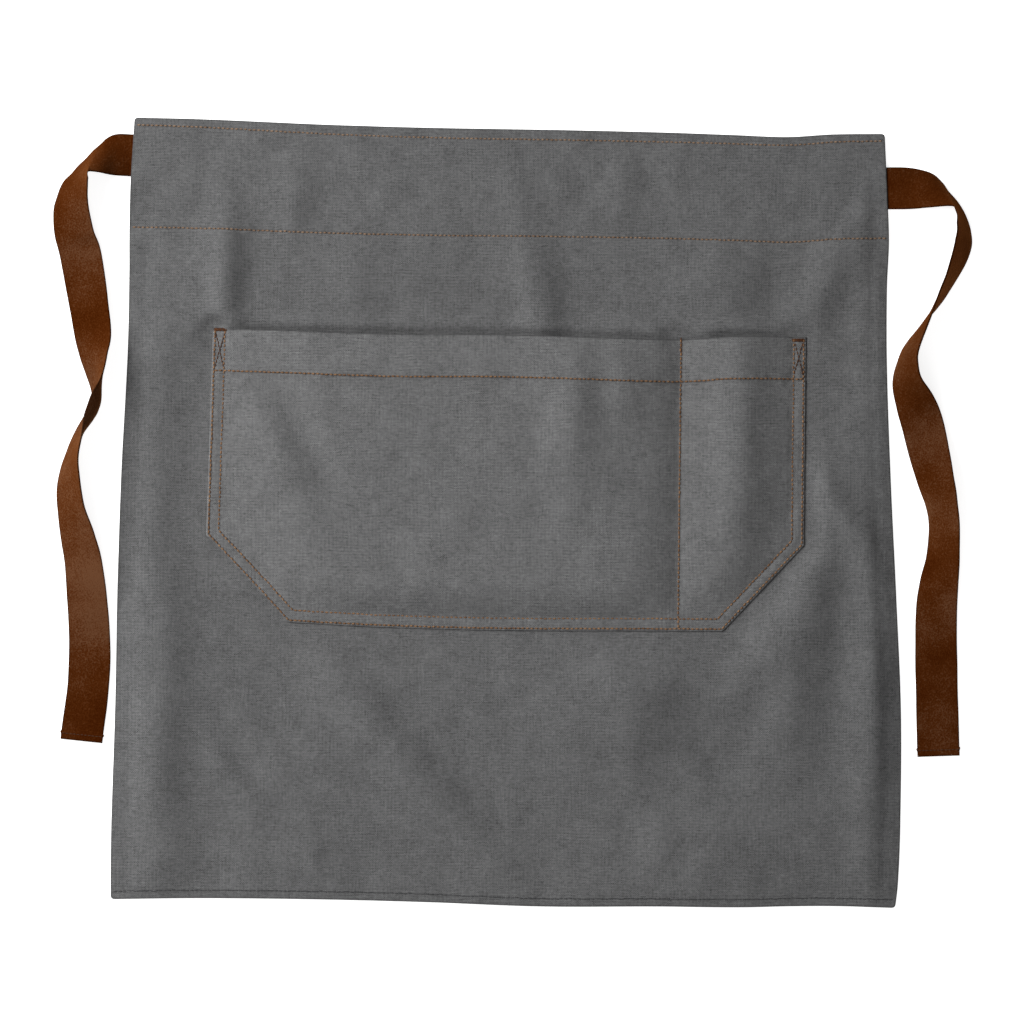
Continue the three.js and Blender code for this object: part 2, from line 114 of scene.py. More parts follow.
# Seams and stitches, in millimetres
SEAM_DROP = (98.5, 94.0)
WAIST_ROW_DROP = 6.5
WAIST_ROW_SAG = 2.5
HEM_ROW_INSET = 7.2
RIM_ROWS = (2.0, 11.0)
DIVIDER_FOOT = (149.4, -107)
DIVIDER_LEAN = 2.7
DIVIDER_RUN = 263
GROOVE_WIDTH = 1.1
PUCKER_RISE = 0.3
PUCKER_SIZE = 5.5
STITCH_PITCH = 4.0
STITCH_LENGTH = 3.8
STITCH_RADIUS = 0.74
HEM_STITCH_RADIUS = 0.45
TACK_RADIUS = 0.42
TIE_STITCH_RADIUS = 0.32
TIE_STITCH_PITCH = 3.4
TIE_STITCH_LENGTH = 2.8
TIE_ROW_INSET = 2.4

# Bar tacks and their crosses, in pixels of the photograph
PIXEL = 0.9
PHOTO_MIDDLE = 512
MOUTH_TACKS = (
    {"left": 214.4, "right": 226.0, "top": 329.6,
     "crosses": (((216, 333), (223.5, 367)), ((225, 333), (214.6, 367)))},
    {"left": 792.4, "right": 804.0, "top": 340.2,
     "crosses": (((794.8, 343), (802.8, 375)), ((802.6, 343), (793.8, 375)))},
)
MOUTH_TACK_THREADS = 16
DIVIDER_TACK = {"left": 680.2, "right": 682.1, "top": 338.2, "step": 1.45, "threads": 12}


def table(columns, rows):
    return dict(zip(columns.split(), np.array(rows, float).T))


# Outlines, folds and ties in shares of the sizes, with lean, turn and tilt in degrees
SIDES = table("up left right", [
    (0, -0.516, 0.4925), (0.03, -0.516, 0.496), (0.1, -0.515, 0.499), (0.25, -0.51, 0.5),
    (0.4, -0.507, 0.494), (0.55, -0.502, 0.487), (0.7, -0.494, 0.482), (0.8, -0.492, 0.482),
    (0.86, -0.4917, 0.4845), (0.92, -0.49, 0.4825), (1, -0.485, 0.479),
])
ENDS = table("across waist hem", [
    (0, 0.507, -0.4976), (0.1, 0.5045, -0.4963), (0.25, 0.498, -0.4976), (0.4, 0.4937, -0.5014),
    (0.55, 0.4913, -0.507), (0.7, 0.488, -0.507), (0.8, 0.4845, -0.508), (0.87, 0.482, -0.5066),
    (0.93, 0.4853, -0.5066), (1, 0.486, -0.509),
])
SKIRT_FOLDS = table("x y lean length width height", [
    (-0.456, -0.24, 0, 0.3, 0.036, 1.35), (-0.43, 0.144, 0, 0.13, 0.026, 0.15),
    (-0.37, 0.3, 0, 0.1, 0.024, 1.35), (-0.405, 0.32, 0, 0.06, 0.03, 0.25),
    (-0.455, 0.375, 22, 0.045, 0.016, 0.35), (-0.279, 0.395, 0, 0.045, 0.018, 0.35),
    (-0.206, 0.298, 0, 0.05, 0.026, 0.3), (0.032, 0.28, 12, 0.075, 0.028, 0.8),
    (0.0, 0.43, 9, 0.05, 0.021, 0.4), (0.068, 0.414, 25, 0.035, 0.02, 0.3),
    (0.144, 0.42, 0, 0.055, 0.026, 0.5), (0.206, 0.434, 0, 0.035, 0.018, 0.3),
    (0.409, 0.311, -24.5, 0.096, 0.033, 1.0), (0.46, 0.15, 0, 0.36, 0.026, 0.4),
    (0.274, 0.285, 0, 0.05, 0.06, 0.5), (0.357, 0.298, -33, 0.07, 0.034, -0.4),
    (-0.143, -0.31, 41, 0.17, 0.03, 1.15), (-0.2, -0.24, 35, 0.09, 0.045, 0.45),
    (0.15, -0.235, 4, 0.1, 0.07, 1.6), (0.05, -0.27, 8, 0.1, 0.05, 0.4),
    (0.19, -0.43, 0, 0.05, 0.022, 0.4), (0.372, -0.19, -10, 0.14, 0.04, 1.1),
    (0.338, -0.165, -34, 0.1, 0.028, 0.85), (0.47, -0.22, 0, 0.12, 0.034, 0.75),
    (0.462, -0.34, 0, 0.24, 0.032, 0.62), (0.418, 0.008, 34, 0.1, 0.022, 0.8),
    (0.25, -0.44, 0, 0.09, 0.05, 0.5), (0.29, -0.46, 0, 0.09, 0.13, 0.9),
    (-0.373, -0.316, 28, 0.08, 0.019, 0.4), (-0.33, -0.464, 32, 0.03, 0.016, 0.3),
    (-0.256, -0.447, 0, 0.04, 0.02, 0.3),
])
POCKET_SIDES = table("up left right", [(0, -0.504, 0.4995), (1, -0.4925, 0.503)])
POCKET_ENDS = table("across mouth lower", [
    (0, 0.023, 0.03), (0.1, 0.016, 0.03), (0.3, 0.002, 0.01), (0.5, 0, 0), (0.78, -0.016, -0.002),
    (0.88, -0.006, -0.004), (1, -0.007, -0.006),
])
POCKET_FOLDS = table("x y lean length width height", [
    (-0.39, 0.12, 31, 0.24, 0.036, 0.66), (-0.34, 0.15, 31, 0.2, 0.03, -0.52),
    (-0.305, 0.347, 0, 0.06, 0.025, 0.16), (-0.145, 0.415, 0, 0.06, 0.025, 0.16),
    (0.11, 0.25, 0, 0.26, 0.045, 1.0), (0.19, 0.35, 0, 0.15, 0.024, 0.3),
    (0.222, 0.36, -8, 0.12, 0.02, 0.14), (-0.16, -0.2, -20, 0.12, 0.06, -0.15),
    (0.383, 0.18, 0, 0.44, 0.044, 0.9), (-0.07, -0.36, 90, 0.56, 0.026, 0.2),
])
LEFT_TIE = table("out down turn tilt curl", [
    (0, 0, 0, 0, 0), (0.028, -0.001, -3, 12, 0), (0.049, 0.001, -8, 34, 0.02),
    (0.066, 0.007, -16, 50, 0.03), (0.077, 0.019, 12, 68, 0.02), (0.088, 0.035, 64, 65, 0.02),
    (0.097, 0.052, 76, 51, 0), (0.103, 0.074, 88, 40, 0), (0.105, 0.097, 93, 29, 0),
    (0.1, 0.135, 96, 18, 0), (0.088, 0.179, 98, 8, 0), (0.069, 0.299, 95, 25, 0.02),
    (0.066, 0.347, 92, 46, 0.06), (0.065, 0.384, 88, 66, 0.14), (0.069, 0.416, 78, 88, 0.22),
    (0.076, 0.437, 74, 90, 0.25), (0.083, 0.454, 73, 87, 0.22), (0.091, 0.481, 74, 78, 0.08),
    (0.101, 0.512, 80, 72, 0.02), (0.107, 0.545, 87, 62, 0), (0.108, 0.582, 94, 52, 0),
    (0.104, 0.617, 100, 46, 0), (0.093, 0.664, 103, 33, 0), (0.083, 0.715, 99, 24, 0),
    (0.074, 0.83, 90, 8, 0), (0.076, 0.917, 86, 4, 0), (0.0865, 1, 84, 2, 0),
])
RIGHT_TIE = table("out down turn tilt curl", [
    (0, 0, 0, 0, 0), (0.034, 0, -4, 8, 0), (0.065, 0.001, -9, 22, 0), (0.091, 0.004, -15, 37, 0.02),
    (0.108, 0.012, -21, 51, 0.03), (0.115, 0.023, -12, 64, 0.03), (0.125, 0.038, 16, 72, 0.02),
    (0.132, 0.058, 58, 72, 0.02), (0.136, 0.077, 86, 69, 0), (0.135, 0.099, 103, 64, 0),
    (0.127, 0.127, 108, 66, 0), (0.112, 0.162, 111, 73, 0), (0.093, 0.199, 115, 80, 0.02),
    (0.074, 0.232, 118, 90, 0.04), (0.044, 0.283, 103, 107, 0.05), (0.035, 0.315, 93, 118, 0.04),
    (0.035, 0.345, 80, 133, 0.02), (0.049, 0.381, 75, 155, 0), (0.063, 0.421, 74, 170, 0),
    (0.075, 0.474, 78, 161, 0), (0.086, 0.522, 80, 148, 0), (0.096, 0.564, 84, 137, 0),
    (0.101, 0.601, 90, 134, 0), (0.099, 0.659, 94, 139, 0), (0.092, 0.708, 94, 153, 0),
    (0.088, 0.759, 92, 166, 0), (0.088, 0.85, 90, 174, 0), (0.0915, 1, 88, 178, 0),
])

# Painted highlights along the ties, where they catch the light, in millimetres from the tucked end
LEFT_PAINTED_SHEEN = table("at reach depth", [(150, 42, 0.8), (300, 58, 1.0), (448, 80, 1.05)])
RIGHT_PAINTED_SHEEN = table("at reach depth", [
    (130, 50, 0.2), (240, 35, 0.7), (315, 38, 0.85), (400, 34, 0.8), (475, 45, 0.45), (590, 60, 0.2),
])


# Curves and fields

def curve(rows, key, column, at):
    """Value of a table's column between its rows, on a smooth curve through them."""
    keys, values = rows[key], rows[column]
    i = np.clip(np.searchsorted(keys, at), 1, len(keys) - 1)
    before, after = np.maximum(i - 2, 0), np.minimum(i + 1, len(keys) - 1)
    span = keys[i] - keys[i - 1]
    share = (at - keys[i - 1]) / span
    rise = values[i] - values[i - 1]
    start = (values[i] - values[before]) / (keys[i] - keys[before]) * span
    end = (values[after] - values[i - 1]) / (keys[after] - keys[i - 1]) * span
    bend = share * (1 - share)
    return values[i - 1] + rise * share + bend * ((1 - share) * (start - rise) - share * (end - rise))


def lerp(a, b, share):
    return a + (b - a) * share


def smoothstep(x, low, high):
    share = np.clip((x - low) / (high - low), 0, 1)
    return share * share * (3 - 2 * share)


def rounded_max(a, b):
    return (a + b + np.hypot(a - b, BLEND_HEIGHT)) / 2


def evenly(low, high, step):
    return np.linspace(low, high, int(math.ceil((high - low) / step)) + 1)


class Field:
    """Smooth seeded unevenness, from about -1 to 1."""

    def __init__(self, seed):
        self.grid = np.random.default_rng(seed).uniform(-1, 1, (FIELD_POINTS, FIELD_POINTS))

    def __call__(self, x, y, width, height=None):
        u, v = np.asarray(x) / width, np.asarray(y) / (height or width)
        i, j = np.floor(u).astype(int), np.floor(v).astype(int)
        s, t = u - i, v - j
        s, t = s ** 3 * (s * (6 * s - 15) + 10), t ** 3 * (t * (6 * t - 15) + 10)
        low, high = (
            lerp(*(self.grid[(i + p) % FIELD_POINTS, (j + q) % FIELD_POINTS] for p in (0, 1)), s)
            for q in (0, 1)
        )
        return lerp(low, high, t) * 1.5


def folds_at(folds, x, y, width, height):
    total = np.zeros(np.shape(x))
    for across, up, lean, length, breadth, rise in zip(*folds.values()):
        dx, dy = x - across * width, y - up * height
        sine, cosine = math.sin(math.radians(lean)), math.cos(math.radians(lean))
        along = (dx * sine - dy * cosine) / (length * height)
        side = (dx * cosine + dy * sine) / (breadth * width)
        total += rise * FOLD_RISE * np.exp(-along ** 2 - side ** 2)
    return total


# Plan of the skirt

def waist_at(a):
    return curve(ENDS, "across", "waist", a) * BODY_HEIGHT


def hem_at(a):
    return curve(ENDS, "across", "hem", a) * BODY_HEIGHT


def side_at(side, up):
    return curve(SIDES, "up", side, up) * BODY_WIDTH


def seam_drop(a):
    """How far the waistband's lower seam is below the waist edge."""
    return lerp(*SEAM_DROP, a)


def waist_row_drop(a):
    """How far the upper row of the waistband is below the waist edge."""
    return WAIST_ROW_DROP + WAIST_ROW_SAG * np.sin(math.pi * np.clip(a, 0, 1))


def sides_at(up):
    return side_at("left", up), side_at("right", up)


def share_up(a, y):
    return (y - hem_at(a)) / (waist_at(a) - hem_at(a))


def skirt_line(a, y):
    """Points of the plan at shares across the skirt and heights."""
    return np.stack([lerp(*sides_at(share_up(a, y)), a), y], -1)


def skirt_share(x, y):
    """Share across the skirt and up it of a point of the plan."""
    a = np.clip(x / BODY_WIDTH + 0.5, 0, 1)
    for _ in range(4):
        up = share_up(a, y)
        left, right = sides_at(up)
        a = np.clip((x - left) / (right - left), 0, 1)
    return a, up


# Plan of the pocket

POCKET_MOUTH = waist_at(0.5) - POCKET_DROP
CHAMFER_SLOPE = CHAMFER_HEIGHT / CHAMFER_WIDTH


def pocket_sides(b):
    return [POCKET_SHIFT + curve(POCKET_SIDES, "up", side, b) * POCKET_WIDTH for side in ("left", "right")]


def pocket_level(a):
    """Height of the pocket's lower edge before its corners are cut off."""
    return POCKET_MOUTH - POCKET_HEIGHT * (1 - curve(POCKET_ENDS, "across", "lower", a))


def pocket_lower(a):
    from_side = np.minimum(a, 1 - a) * POCKET_WIDTH
    return pocket_level(a) + np.maximum(CHAMFER_WIDTH - from_side, 0) * CHAMFER_SLOPE


def pocket_mouth(a):
    return POCKET_MOUTH + POCKET_HEIGHT * curve(POCKET_ENDS, "across", "mouth", a)


def pocket_point(a, b):
    """Point of the plan at a share across the pocket and up it."""
    return lerp(*pocket_sides(b), a), lerp(pocket_lower(a), pocket_mouth(a), b)


def pocket_share(x, y):
    """Share across the pocket and up it of a point of the plan."""
    a = np.clip((x - POCKET_SHIFT) / POCKET_WIDTH + 0.5, 0, 1)
    b = np.full(np.shape(a), 0.5)
    for _ in range(5):
        left, right = pocket_sides(b)
        a = np.clip((x - left) / (right - left), 0, 1)
        low, high = pocket_lower(a), pocket_mouth(a)
        b = np.clip((y - low) / (high - low), 0, 1)
    return a, b


CORNER = CHAMFER_WIDTH / POCKET_WIDTH
TILTED = math.hypot(1, CHAMFER_SLOPE)


def outline_part(first, last, b, count):
    """Points of the pocket's outline between two shares across it."""
    a = np.linspace(first, last, count)
    return np.stack(pocket_point(a, np.full(count, float(b))), -1)


LEFT_SIDE = outline_part(0, 0, 1, 1)
FIRST_CHAMFER, LOWER_EDGE = outline_part(0, CORNER, 0, 4), outline_part(CORNER, 1 - CORNER, 0, 21)
SECOND_CHAMFER, RIGHT_SIDE = outline_part(1 - CORNER, 1, 0, 4), outline_part(1, 1, 1, 1)
MOUTH_EDGE = outline_part(1, 0, 1, 17)
SEWN_EDGE = np.concatenate([
    LEFT_SIDE, FIRST_CHAMFER[:-1], LOWER_EDGE, SECOND_CHAMFER[1:], RIGHT_SIDE,
])
OUTLINE = np.concatenate([SEWN_EDGE, MOUTH_EDGE[1:-1]])


def from_lines(x, y):
    """Distances inside the pocket's left side, right side, lower edge and two chamfers."""
    a, b = pocket_share(x, y)
    left, right = pocket_sides(b)
    over = y - pocket_level(a)
    first, second = (
        (over - (CHAMFER_WIDTH - share * POCKET_WIDTH) * CHAMFER_SLOPE) / TILTED for share in (a, 1 - a)
    )
    return x - left, right - x, over, first, second


def distance_to_pocket(x, y):
    nearest = np.full(np.shape(x), 1e9)
    for start, end in zip(OUTLINE, np.roll(OUTLINE, -1, axis=0)):
        run = end - start
        dx, dy = x - start[0], y - start[1]
        share = np.clip((dx * run[0] + dy * run[1]) / (run @ run), 0, 1)
        nearest = np.minimum(nearest, np.hypot(dx - share * run[0], dy - share * run[1]))
    below_mouth = pocket_mouth(pocket_share(x, y)[0]) - y
    inside = np.minimum.reduce([*from_lines(x, y), below_mouth]) >= 0
    return np.where(inside, 0, nearest)


def divider_x(y):
    return DIVIDER_FOOT[0] + DIVIDER_LEAN * (y - DIVIDER_FOOT[1]) / DIVIDER_RUN


# Ties

TIES = [
    {"name": "tie_" + side, "outward": outward, "drop": drop, "rows": rows, "length": length, "painted_sheen": painted_sheen,
     "exit_x": side_at(side, 1 - below / BODY_HEIGHT), "exit_y": waist_at((1 + outward) / 2) - below}
    for side, outward, below, drop, rows, length, painted_sheen in (
        ("left", -1, LEFT_TIE_BELOW, LEFT_TIE_DROP, LEFT_TIE, 0.62, LEFT_PAINTED_SHEEN),
        ("right", 1, RIGHT_TIE_BELOW, RIGHT_TIE_DROP, RIGHT_TIE, 0.626, RIGHT_PAINTED_SHEEN),
    )
]

# Relief of the cloth

TIE_LAYER = FACING_THICKNESS + LAYER_GAP
COVER_LIFT = TIE_THICKNESS + LAYER_GAP
SOFT, SWELL, PUCKER, GRAIN = Field(3), Field(5), Field(8), Field(13)
SKIRT_WAVES = ((SOFT, 1.5, 95, 130), (SWELL, 0.6, 27, 48), (PUCKER, 0.1, 12, 22))
POCKET_WAVES = ((SOFT, 0.85, 70, 90), (SWELL, 0.55, 27, 44), (PUCKER, 0.1, 12, 20))


def with_waves(heights, waves, x, y):
    """Heights plus fields, each with its rise, width and length."""
    for field, rise, width, length in waves:
        heights = heights + rise * field(x, y, width, length)
    return heights


def casing_lift(x, y, a):
    """Height of the skirt's lower face over the facing and the tucked ties."""
    below = waist_at(a) - WAISTBAND_HEIGHT - SEAM_ALLOWANCE - CASING_MARGIN - y
    lift = TIE_LAYER * (1 - smoothstep(below, 0, CASING_RAMP))
    for tie in TIES:
        inward = np.abs(x - tie["exit_x"]) - TIE_TUCK - CASING_MARGIN
        aside = np.abs(y - tie["exit_y"]) - TIE_WIDTH / 2 - CASING_MARGIN
        beyond = np.hypot(np.maximum(inward, 0), np.maximum(aside, 0))
        lift = lift + COVER_LIFT * (1 - smoothstep(beyond, 0, CASING_RAMP))
    return lift


def skirt_under(x, y, a):
    """Height of the skirt's lower face: folds, flat where the pocket is sewn on."""
    left, right = sides_at(share_up(a, y))
    from_side = np.minimum(x - left, right - x)
    folds = folds_at(SKIRT_FOLDS, x, y, BODY_WIDTH, BODY_HEIGHT)
    folds = with_waves(folds, SKIRT_WAVES, x, y)
    near = distance_to_pocket(x, y)
    over_mouth = y - pocket_mouth(pocket_share(x, y)[0])
    above = smoothstep(over_mouth, -10, -4)
    inward = np.minimum(POCKET_WIDTH / 2 - np.abs(x - POCKET_SHIFT), np.abs(x - divider_x(y)))
    above = above * smoothstep(inward, 5, 26)
    ridge = np.exp(-((over_mouth - RIDGE_OVER_MOUTH) / RIDGE_WIDTH) ** 2)
    folds = folds + REST_LIFT + RIDGE_HEIGHT * above * ridge
    folds = folds * lerp(SIDE_FOLDS, 1, smoothstep(from_side, 0, SIDE_CALM))
    folds = folds * lerp(HEM_FOLDS, 1, smoothstep(y - hem_at(a), 0, HEM_CALM))
    sewn = lerp(SEWN_REACH["left"], SEWN_REACH["right"], smoothstep(x, *SEWN_EASE))
    sewn = lerp(sewn, SEWN_REACH["mouth"], smoothstep(over_mouth, -45, 10))
    free = lerp(smoothstep(near, 1, sewn), smoothstep(over_mouth, -10, 7), above)
    return np.maximum(rounded_max(folds, 0) * free, casing_lift(x, y, a))


def seam_relief(distance, x, y, depth, reach):
    """Groove of a row of stitches and the puckers beside it."""
    groove = -depth * np.exp(-(distance / GROOVE_WIDTH) ** 2)
    pucker = PUCKER_RISE * PUCKER(x, y, PUCKER_SIZE) * np.exp(-np.abs(distance) / reach)
    return groove + pucker * (1 - np.exp(-(distance / 1.4) ** 2) * 0.6)


def with_seams(relief, seams, x, y):
    """Relief plus seams, each with the distance from it and its depth and reach."""
    for distance, depth, reach in seams:
        relief = relief + seam_relief(distance, x, y, depth, reach)
    return relief


def skirt_layers(x, y):
    """Heights of the skirt's upper and lower face, away from its rounded edges."""
    a, up = skirt_share(x, y)
    under = skirt_under(x, y, a)
    below_waist = waist_at(a) - y
    from_hem = y - hem_at(a)
    left, right = sides_at(up)
    from_side = np.minimum(x - left, right - x)
    side = 1 - smoothstep(from_side, HEM_WIDTH, HEM_WIDTH + HEM_STEP)
    side = side * smoothstep(below_waist, WAISTBAND_HEIGHT, WAISTBAND_HEIGHT + 20)
    side = side * smoothstep(right - x, -4, HEM_WIDTH)
    bottom = 1 - smoothstep(from_hem, HEM_WIDTH, HEM_WIDTH + HEM_STEP)
    thick = CLOTH + HEM_EXTRA * np.maximum(side, bottom)
    relief = with_seams(0, (
        (below_waist - waist_row_drop(a), 0.35, 7), (below_waist - seam_drop(a), 0.5, 9),
        (from_hem - HEM_ROW_INSET, 0.2, 6),
    ), x, y)
    relief = relief + 0.12 * GRAIN(x, y, 12, 9)
    open_cloth = smoothstep(distance_to_pocket(x, y), 0, 6)
    return under + thick + relief * open_cloth, under


def bulge(*seams):
    """Share of the full bulge between seams, each with the distance from it and its run."""
    share = 1.0
    for distance, run in seams:
        rest = 1 - np.clip(distance / SEAM_RUNS[run], 0, 1)
        share = share * (1 - rest * rest)
    return share


def pocket_layers(x, y):
    """Heights of the pocket's upper and lower face, away from its rounded edges."""
    a = pocket_share(x, y)[0]
    middle = divider_x(y)
    small = x > middle
    from_divider = np.maximum(np.abs(x - middle) - DIVIDER_SEAM / 2, 0)
    lines = from_lines(x, y)
    rim = np.minimum.reduce(lines)
    left, right, bottom, first, second = (line - POCKET_RIM for line in lines)
    large = bulge((left, "left"), (from_divider, "right"), (bottom, "bottom"), (first, "chamfer"))
    little = bulge((right, "small"), (from_divider, "divider"), (bottom, "bottom"), (second, "chamfer"))
    seams = np.where(small, little, large)
    height = np.where(small, SMALL_POCKET_BULGE, POCKET_BULGE)
    below_mouth = pocket_mouth(a) - y
    mouth = lerp(MOUTH_BULGE, 1, smoothstep(below_mouth, 0, POCKET_HEM_HEIGHT))
    centre = POCKET_MOUTH - POCKET_HEIGHT / 2
    folds = folds_at(POCKET_FOLDS, x - POCKET_SHIFT, y - centre, POCKET_WIDTH, POCKET_HEIGHT)
    folds = with_waves(folds, POCKET_WAVES, x, y)
    under = CLOTH + LAYER_GAP + seams * (height * mouth + folds)
    hem = 1 - smoothstep(below_mouth, POCKET_HEM_HEIGHT, POCKET_HEM_HEIGHT + 3)
    thick = CLOTH + POCKET_HEM_EXTRA * hem * smoothstep(rim, 0, 16)
    outer, inner = RIM_ROWS
    relief = RIM_RISE * np.sin(math.pi * np.clip((rim - outer) / (inner - outer), 0, 1))
    relief = with_seams(relief, (
        (rim - outer, 0.3, 3), (rim - inner, 0.35, 8),
        (below_mouth - POCKET_HEM_HEIGHT, 0.3, 6), (x - middle, 0.3, 8),
    ), x, y)
    relief = relief + 0.1 * GRAIN(x, y, 11, 8)
    return under + thick + relief, under


# Meshes

SHIFT = np.array([
    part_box("body_panel")[0].x * 1000 - SIDES["left"][0] * BODY_WIDTH,
    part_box("body_panel")[1].y * 1000 - ENDS["waist"][0] * BODY_HEIGHT,
    0.0,
])


def new_object(name, data):
    thing = bpy.data.objects.new(name, data)
    bpy.context.scene.collection.objects.link(thing)
    return thing


def mesh_object(name, points, faces, material, attributes):
    """Object of quads and triangles, from points in millimetres."""
    mesh = bpy.data.meshes.new(name)
    vertices = (np.asarray(points, float) + SHIFT) * 0.001
    faces = [np.asarray(group, np.int32) for group in faces]
    loops = np.concatenate([group.ravel() for group in faces])
    sizes = np.concatenate([np.full(len(group), group.shape[1]) for group in faces])
    starts = np.concatenate([[0], np.cumsum(sizes)[:-1]])
    mesh.vertices.add(len(vertices))
    mesh.vertices.foreach_set("co", vertices.astype(np.float32).ravel())
    mesh.loops.add(len(loops))
    mesh.loops.foreach_set("vertex_index", loops)
    mesh.polygons.add(len(sizes))
    mesh.polygons.foreach_set("loop_start", starts.astype(np.int32))
    mesh.polygons.foreach_set("use_smooth", np.ones(len(sizes), bool))
    mesh.update(calc_edges=True)
    mesh.validate()
    for key, values in attributes.items():
        attribute = mesh.attributes.new(key, "FLOAT", "POINT")
        attribute.data.foreach_set("value", np.asarray(values, np.float32).ravel())
    mesh.materials.append(material)
    return new_object(name, mesh)


def quads(index):
    """Quads of grids of vertex numbers, facing up where their rows run up."""
    low, high = index[..., :-1, :], index[..., 1:, :]
    return np.stack([low[..., :-1], low[..., 1:], high[..., 1:], high[..., :-1]], -1).reshape(-1, 4)


def cloth_piece(name, x, y, top, under, edge, material):
    """Closed sheet whose faces meet in the grid's outer line."""
    rows, columns = x.shape
    upper = np.arange(rows * columns).reshape(rows, columns)
    lower = upper.copy()
    lower[1:-1, 1:-1] = rows * columns + np.arange((rows - 2) * (columns - 2)).reshape(rows - 2, -1)
    inner = (slice(1, -1), slice(1, -1))
    points = np.concatenate([
        np.stack([x, y, top], -1).reshape(-1, 3),
        np.stack([x[inner], y[inner], under[inner]], -1).reshape(-1, 3),
    ])
    # The edge attribute carries painted shade along the sheet's turned edges
    edges = np.concatenate([edge.ravel(), edge[inner].ravel()])
    faces = [quads(upper), quads(lower)[:, ::-1]]
    return mesh_object(name, points, faces, material, {"edge": edges})


def quarter_round(distance, radius):
    return np.sqrt(1 - (1 - np.clip(distance / radius, 0, 1)) ** 2)


def round_edges(top, under, distance, radius=1.1):
    """Draws the two faces of a cloth together at its turned edge."""
    middle = (top + under) / 2
    half = (top - under) / 2 * quarter_round(distance, radius)
    return middle + half, middle - half


EDGE_LINES = np.array([0, 0.12, 0.4, 0.9, 1.6])
SEAM_LINES = np.array([-1.4, -0.6, 0, 0.6, 1.4])


def lines_across(width, cell, margin, edges=EDGE_LINES):
    """Lines of a grid across a width, closer together at its two edges."""
    return np.concatenate([edges, evenly(margin, width - margin, cell), width - edges[::-1]])


def skirt(material):
    across = lines_across(BODY_WIDTH, SKIRT_CELL, GRID_MARGIN) / BODY_WIDTH
    lower = BODY_HEIGHT - WAISTBAND_HEIGHT
    down = np.concatenate([
        EDGE_LINES, evenly(GRID_MARGIN, WAISTBAND_HEIGHT - GRID_MARGIN, SKIRT_CELL),
        SEAM_LINES + WAISTBAND_HEIGHT, evenly(2.5, lower - GRID_MARGIN, SKIRT_CELL) + WAISTBAND_HEIGHT,
        lower - EDGE_LINES[::-1] + WAISTBAND_HEIGHT,
    ])[::-1]
    a, s = np.meshgrid(across, down)
    seam = waist_at(a) - seam_drop(a)
    upper = lerp(waist_at(a), seam, s / WAISTBAND_HEIGHT)
    rest = (s - WAISTBAND_HEIGHT) / lower
    y = np.where(s <= WAISTBAND_HEIGHT, upper, lerp(seam, hem_at(a), rest))
    left, right = sides_at(share_up(a, y))
    x = lerp(left, right, a)
    top, under = skirt_layers(x, y)
    distance = np.minimum.reduce([x - left, right - x, waist_at(a) - y, y - hem_at(a)])
    distance = np.maximum(distance, 0)
    x, y = round_corners(x, y, (left, right), (waist_at(a), hem_at(a)))
    top, under = round_edges(top, under, distance)
    # Painted shade along the skirt's turned edges, which the canvas reads from the edge attribute
    edge = 1 - smoothstep(distance, 0.2, 1.5)
    return cloth_piece("apron_skirt", x, y, top, under, edge, material)


def round_corners(x, y, sides, ends):
    """Pulls the corners of the skirt in to small arcs."""
    for side, sign in zip(sides, (1, -1)):
        for end, turn in zip(ends, (-1, 1)):
            dx, dy = (x - side) * sign, (y - end) * turn
            near = (dx < CORNER_RADIUS) & (dy < CORNER_RADIUS)
            u, v = CORNER_RADIUS - dx, CORNER_RADIUS - dy
            reach = np.hypot(u, v)
            box = np.maximum(np.abs(u), np.abs(v))
            share = np.where(near & (reach > 0), box / np.maximum(reach, 1e-9), 1)
            x = np.where(near, side + sign * (CORNER_RADIUS - u * share), x)
            y = np.where(near, end + turn * (CORNER_RADIUS - v * share), y)
    return x, y


def pocket(material):
    divider = POCKET_WIDTH - SMALL_POCKET_WIDTH
    across = np.concatenate([
        EDGE_LINES, evenly(POCKET_MARGIN, divider - 2, POCKET_CELL), [divider],
        evenly(divider + 2, POCKET_WIDTH - POCKET_MARGIN, POCKET_CELL), POCKET_WIDTH - EDGE_LINES[::-1],
    ]) / POCKET_WIDTH
    up = lines_across(POCKET_HEIGHT, POCKET_CELL, POCKET_MARGIN) / POCKET_HEIGHT
    a, b = np.meshgrid(across, up)
    x, y = pocket_point(a, b)
    top, under = pocket_layers(x, y)
    lines, below_mouth = from_lines(x, y), pocket_mouth(a) - y
    distance = np.maximum(np.minimum.reduce([*lines, below_mouth]), 0)
    distance[[0, -1]], distance[:, [0, -1]] = 0, 0
    top, under = round_edges(top, under, distance, 0.9)
    edge = 1 - smoothstep(distance, 0.2, 1.4)
    # Weights of the painted edge shade: strongest along the mouth as its painted shadow, negative along
    # the left side as a painted highlight, light elsewhere
    tone = np.where(below_mouth < 2, 1.0, np.where(lines[0] < 2, -0.7, 0.25))
    return cloth_piece("apron_pocket", x, y, top, under, edge * tone, material)


def facing(material):
    depth = WAISTBAND_HEIGHT + SEAM_ALLOWANCE - FACING_INSET
    lines = EDGE_LINES * 0.5
    width = BODY_WIDTH - 2 * FACING_INSET
    across = lines_across(width, FACING_CELL, GRID_MARGIN, lines) / width
    up = lines_across(depth, FACING_CELL, GRID_MARGIN, lines)
    a, s = np.meshgrid(across, up)
    y = waist_at(a) - FACING_INSET - depth + s
    share = 1 - (waist_at(a) - y) / BODY_HEIGHT
    left = side_at("left", share) + FACING_INSET
    right = side_at("right", share) - FACING_INSET
    x = lerp(left, right, a)
    distance = np.maximum(np.minimum.reduce([x - left, right - x, s, depth - s]), 0)
    weave = 0.08 * GRAIN(x, y, 12, 9)
    top, under = round_edges(FACING_THICKNESS - 0.1 + weave, np.zeros_like(x) + 0.05, distance, 0.5)
    # Painted shade along the facing's turned edges
    edge = 1 - smoothstep(distance, 0.1, 0.6)
    return cloth_piece("apron_facing", x, y, top, under, edge, material)


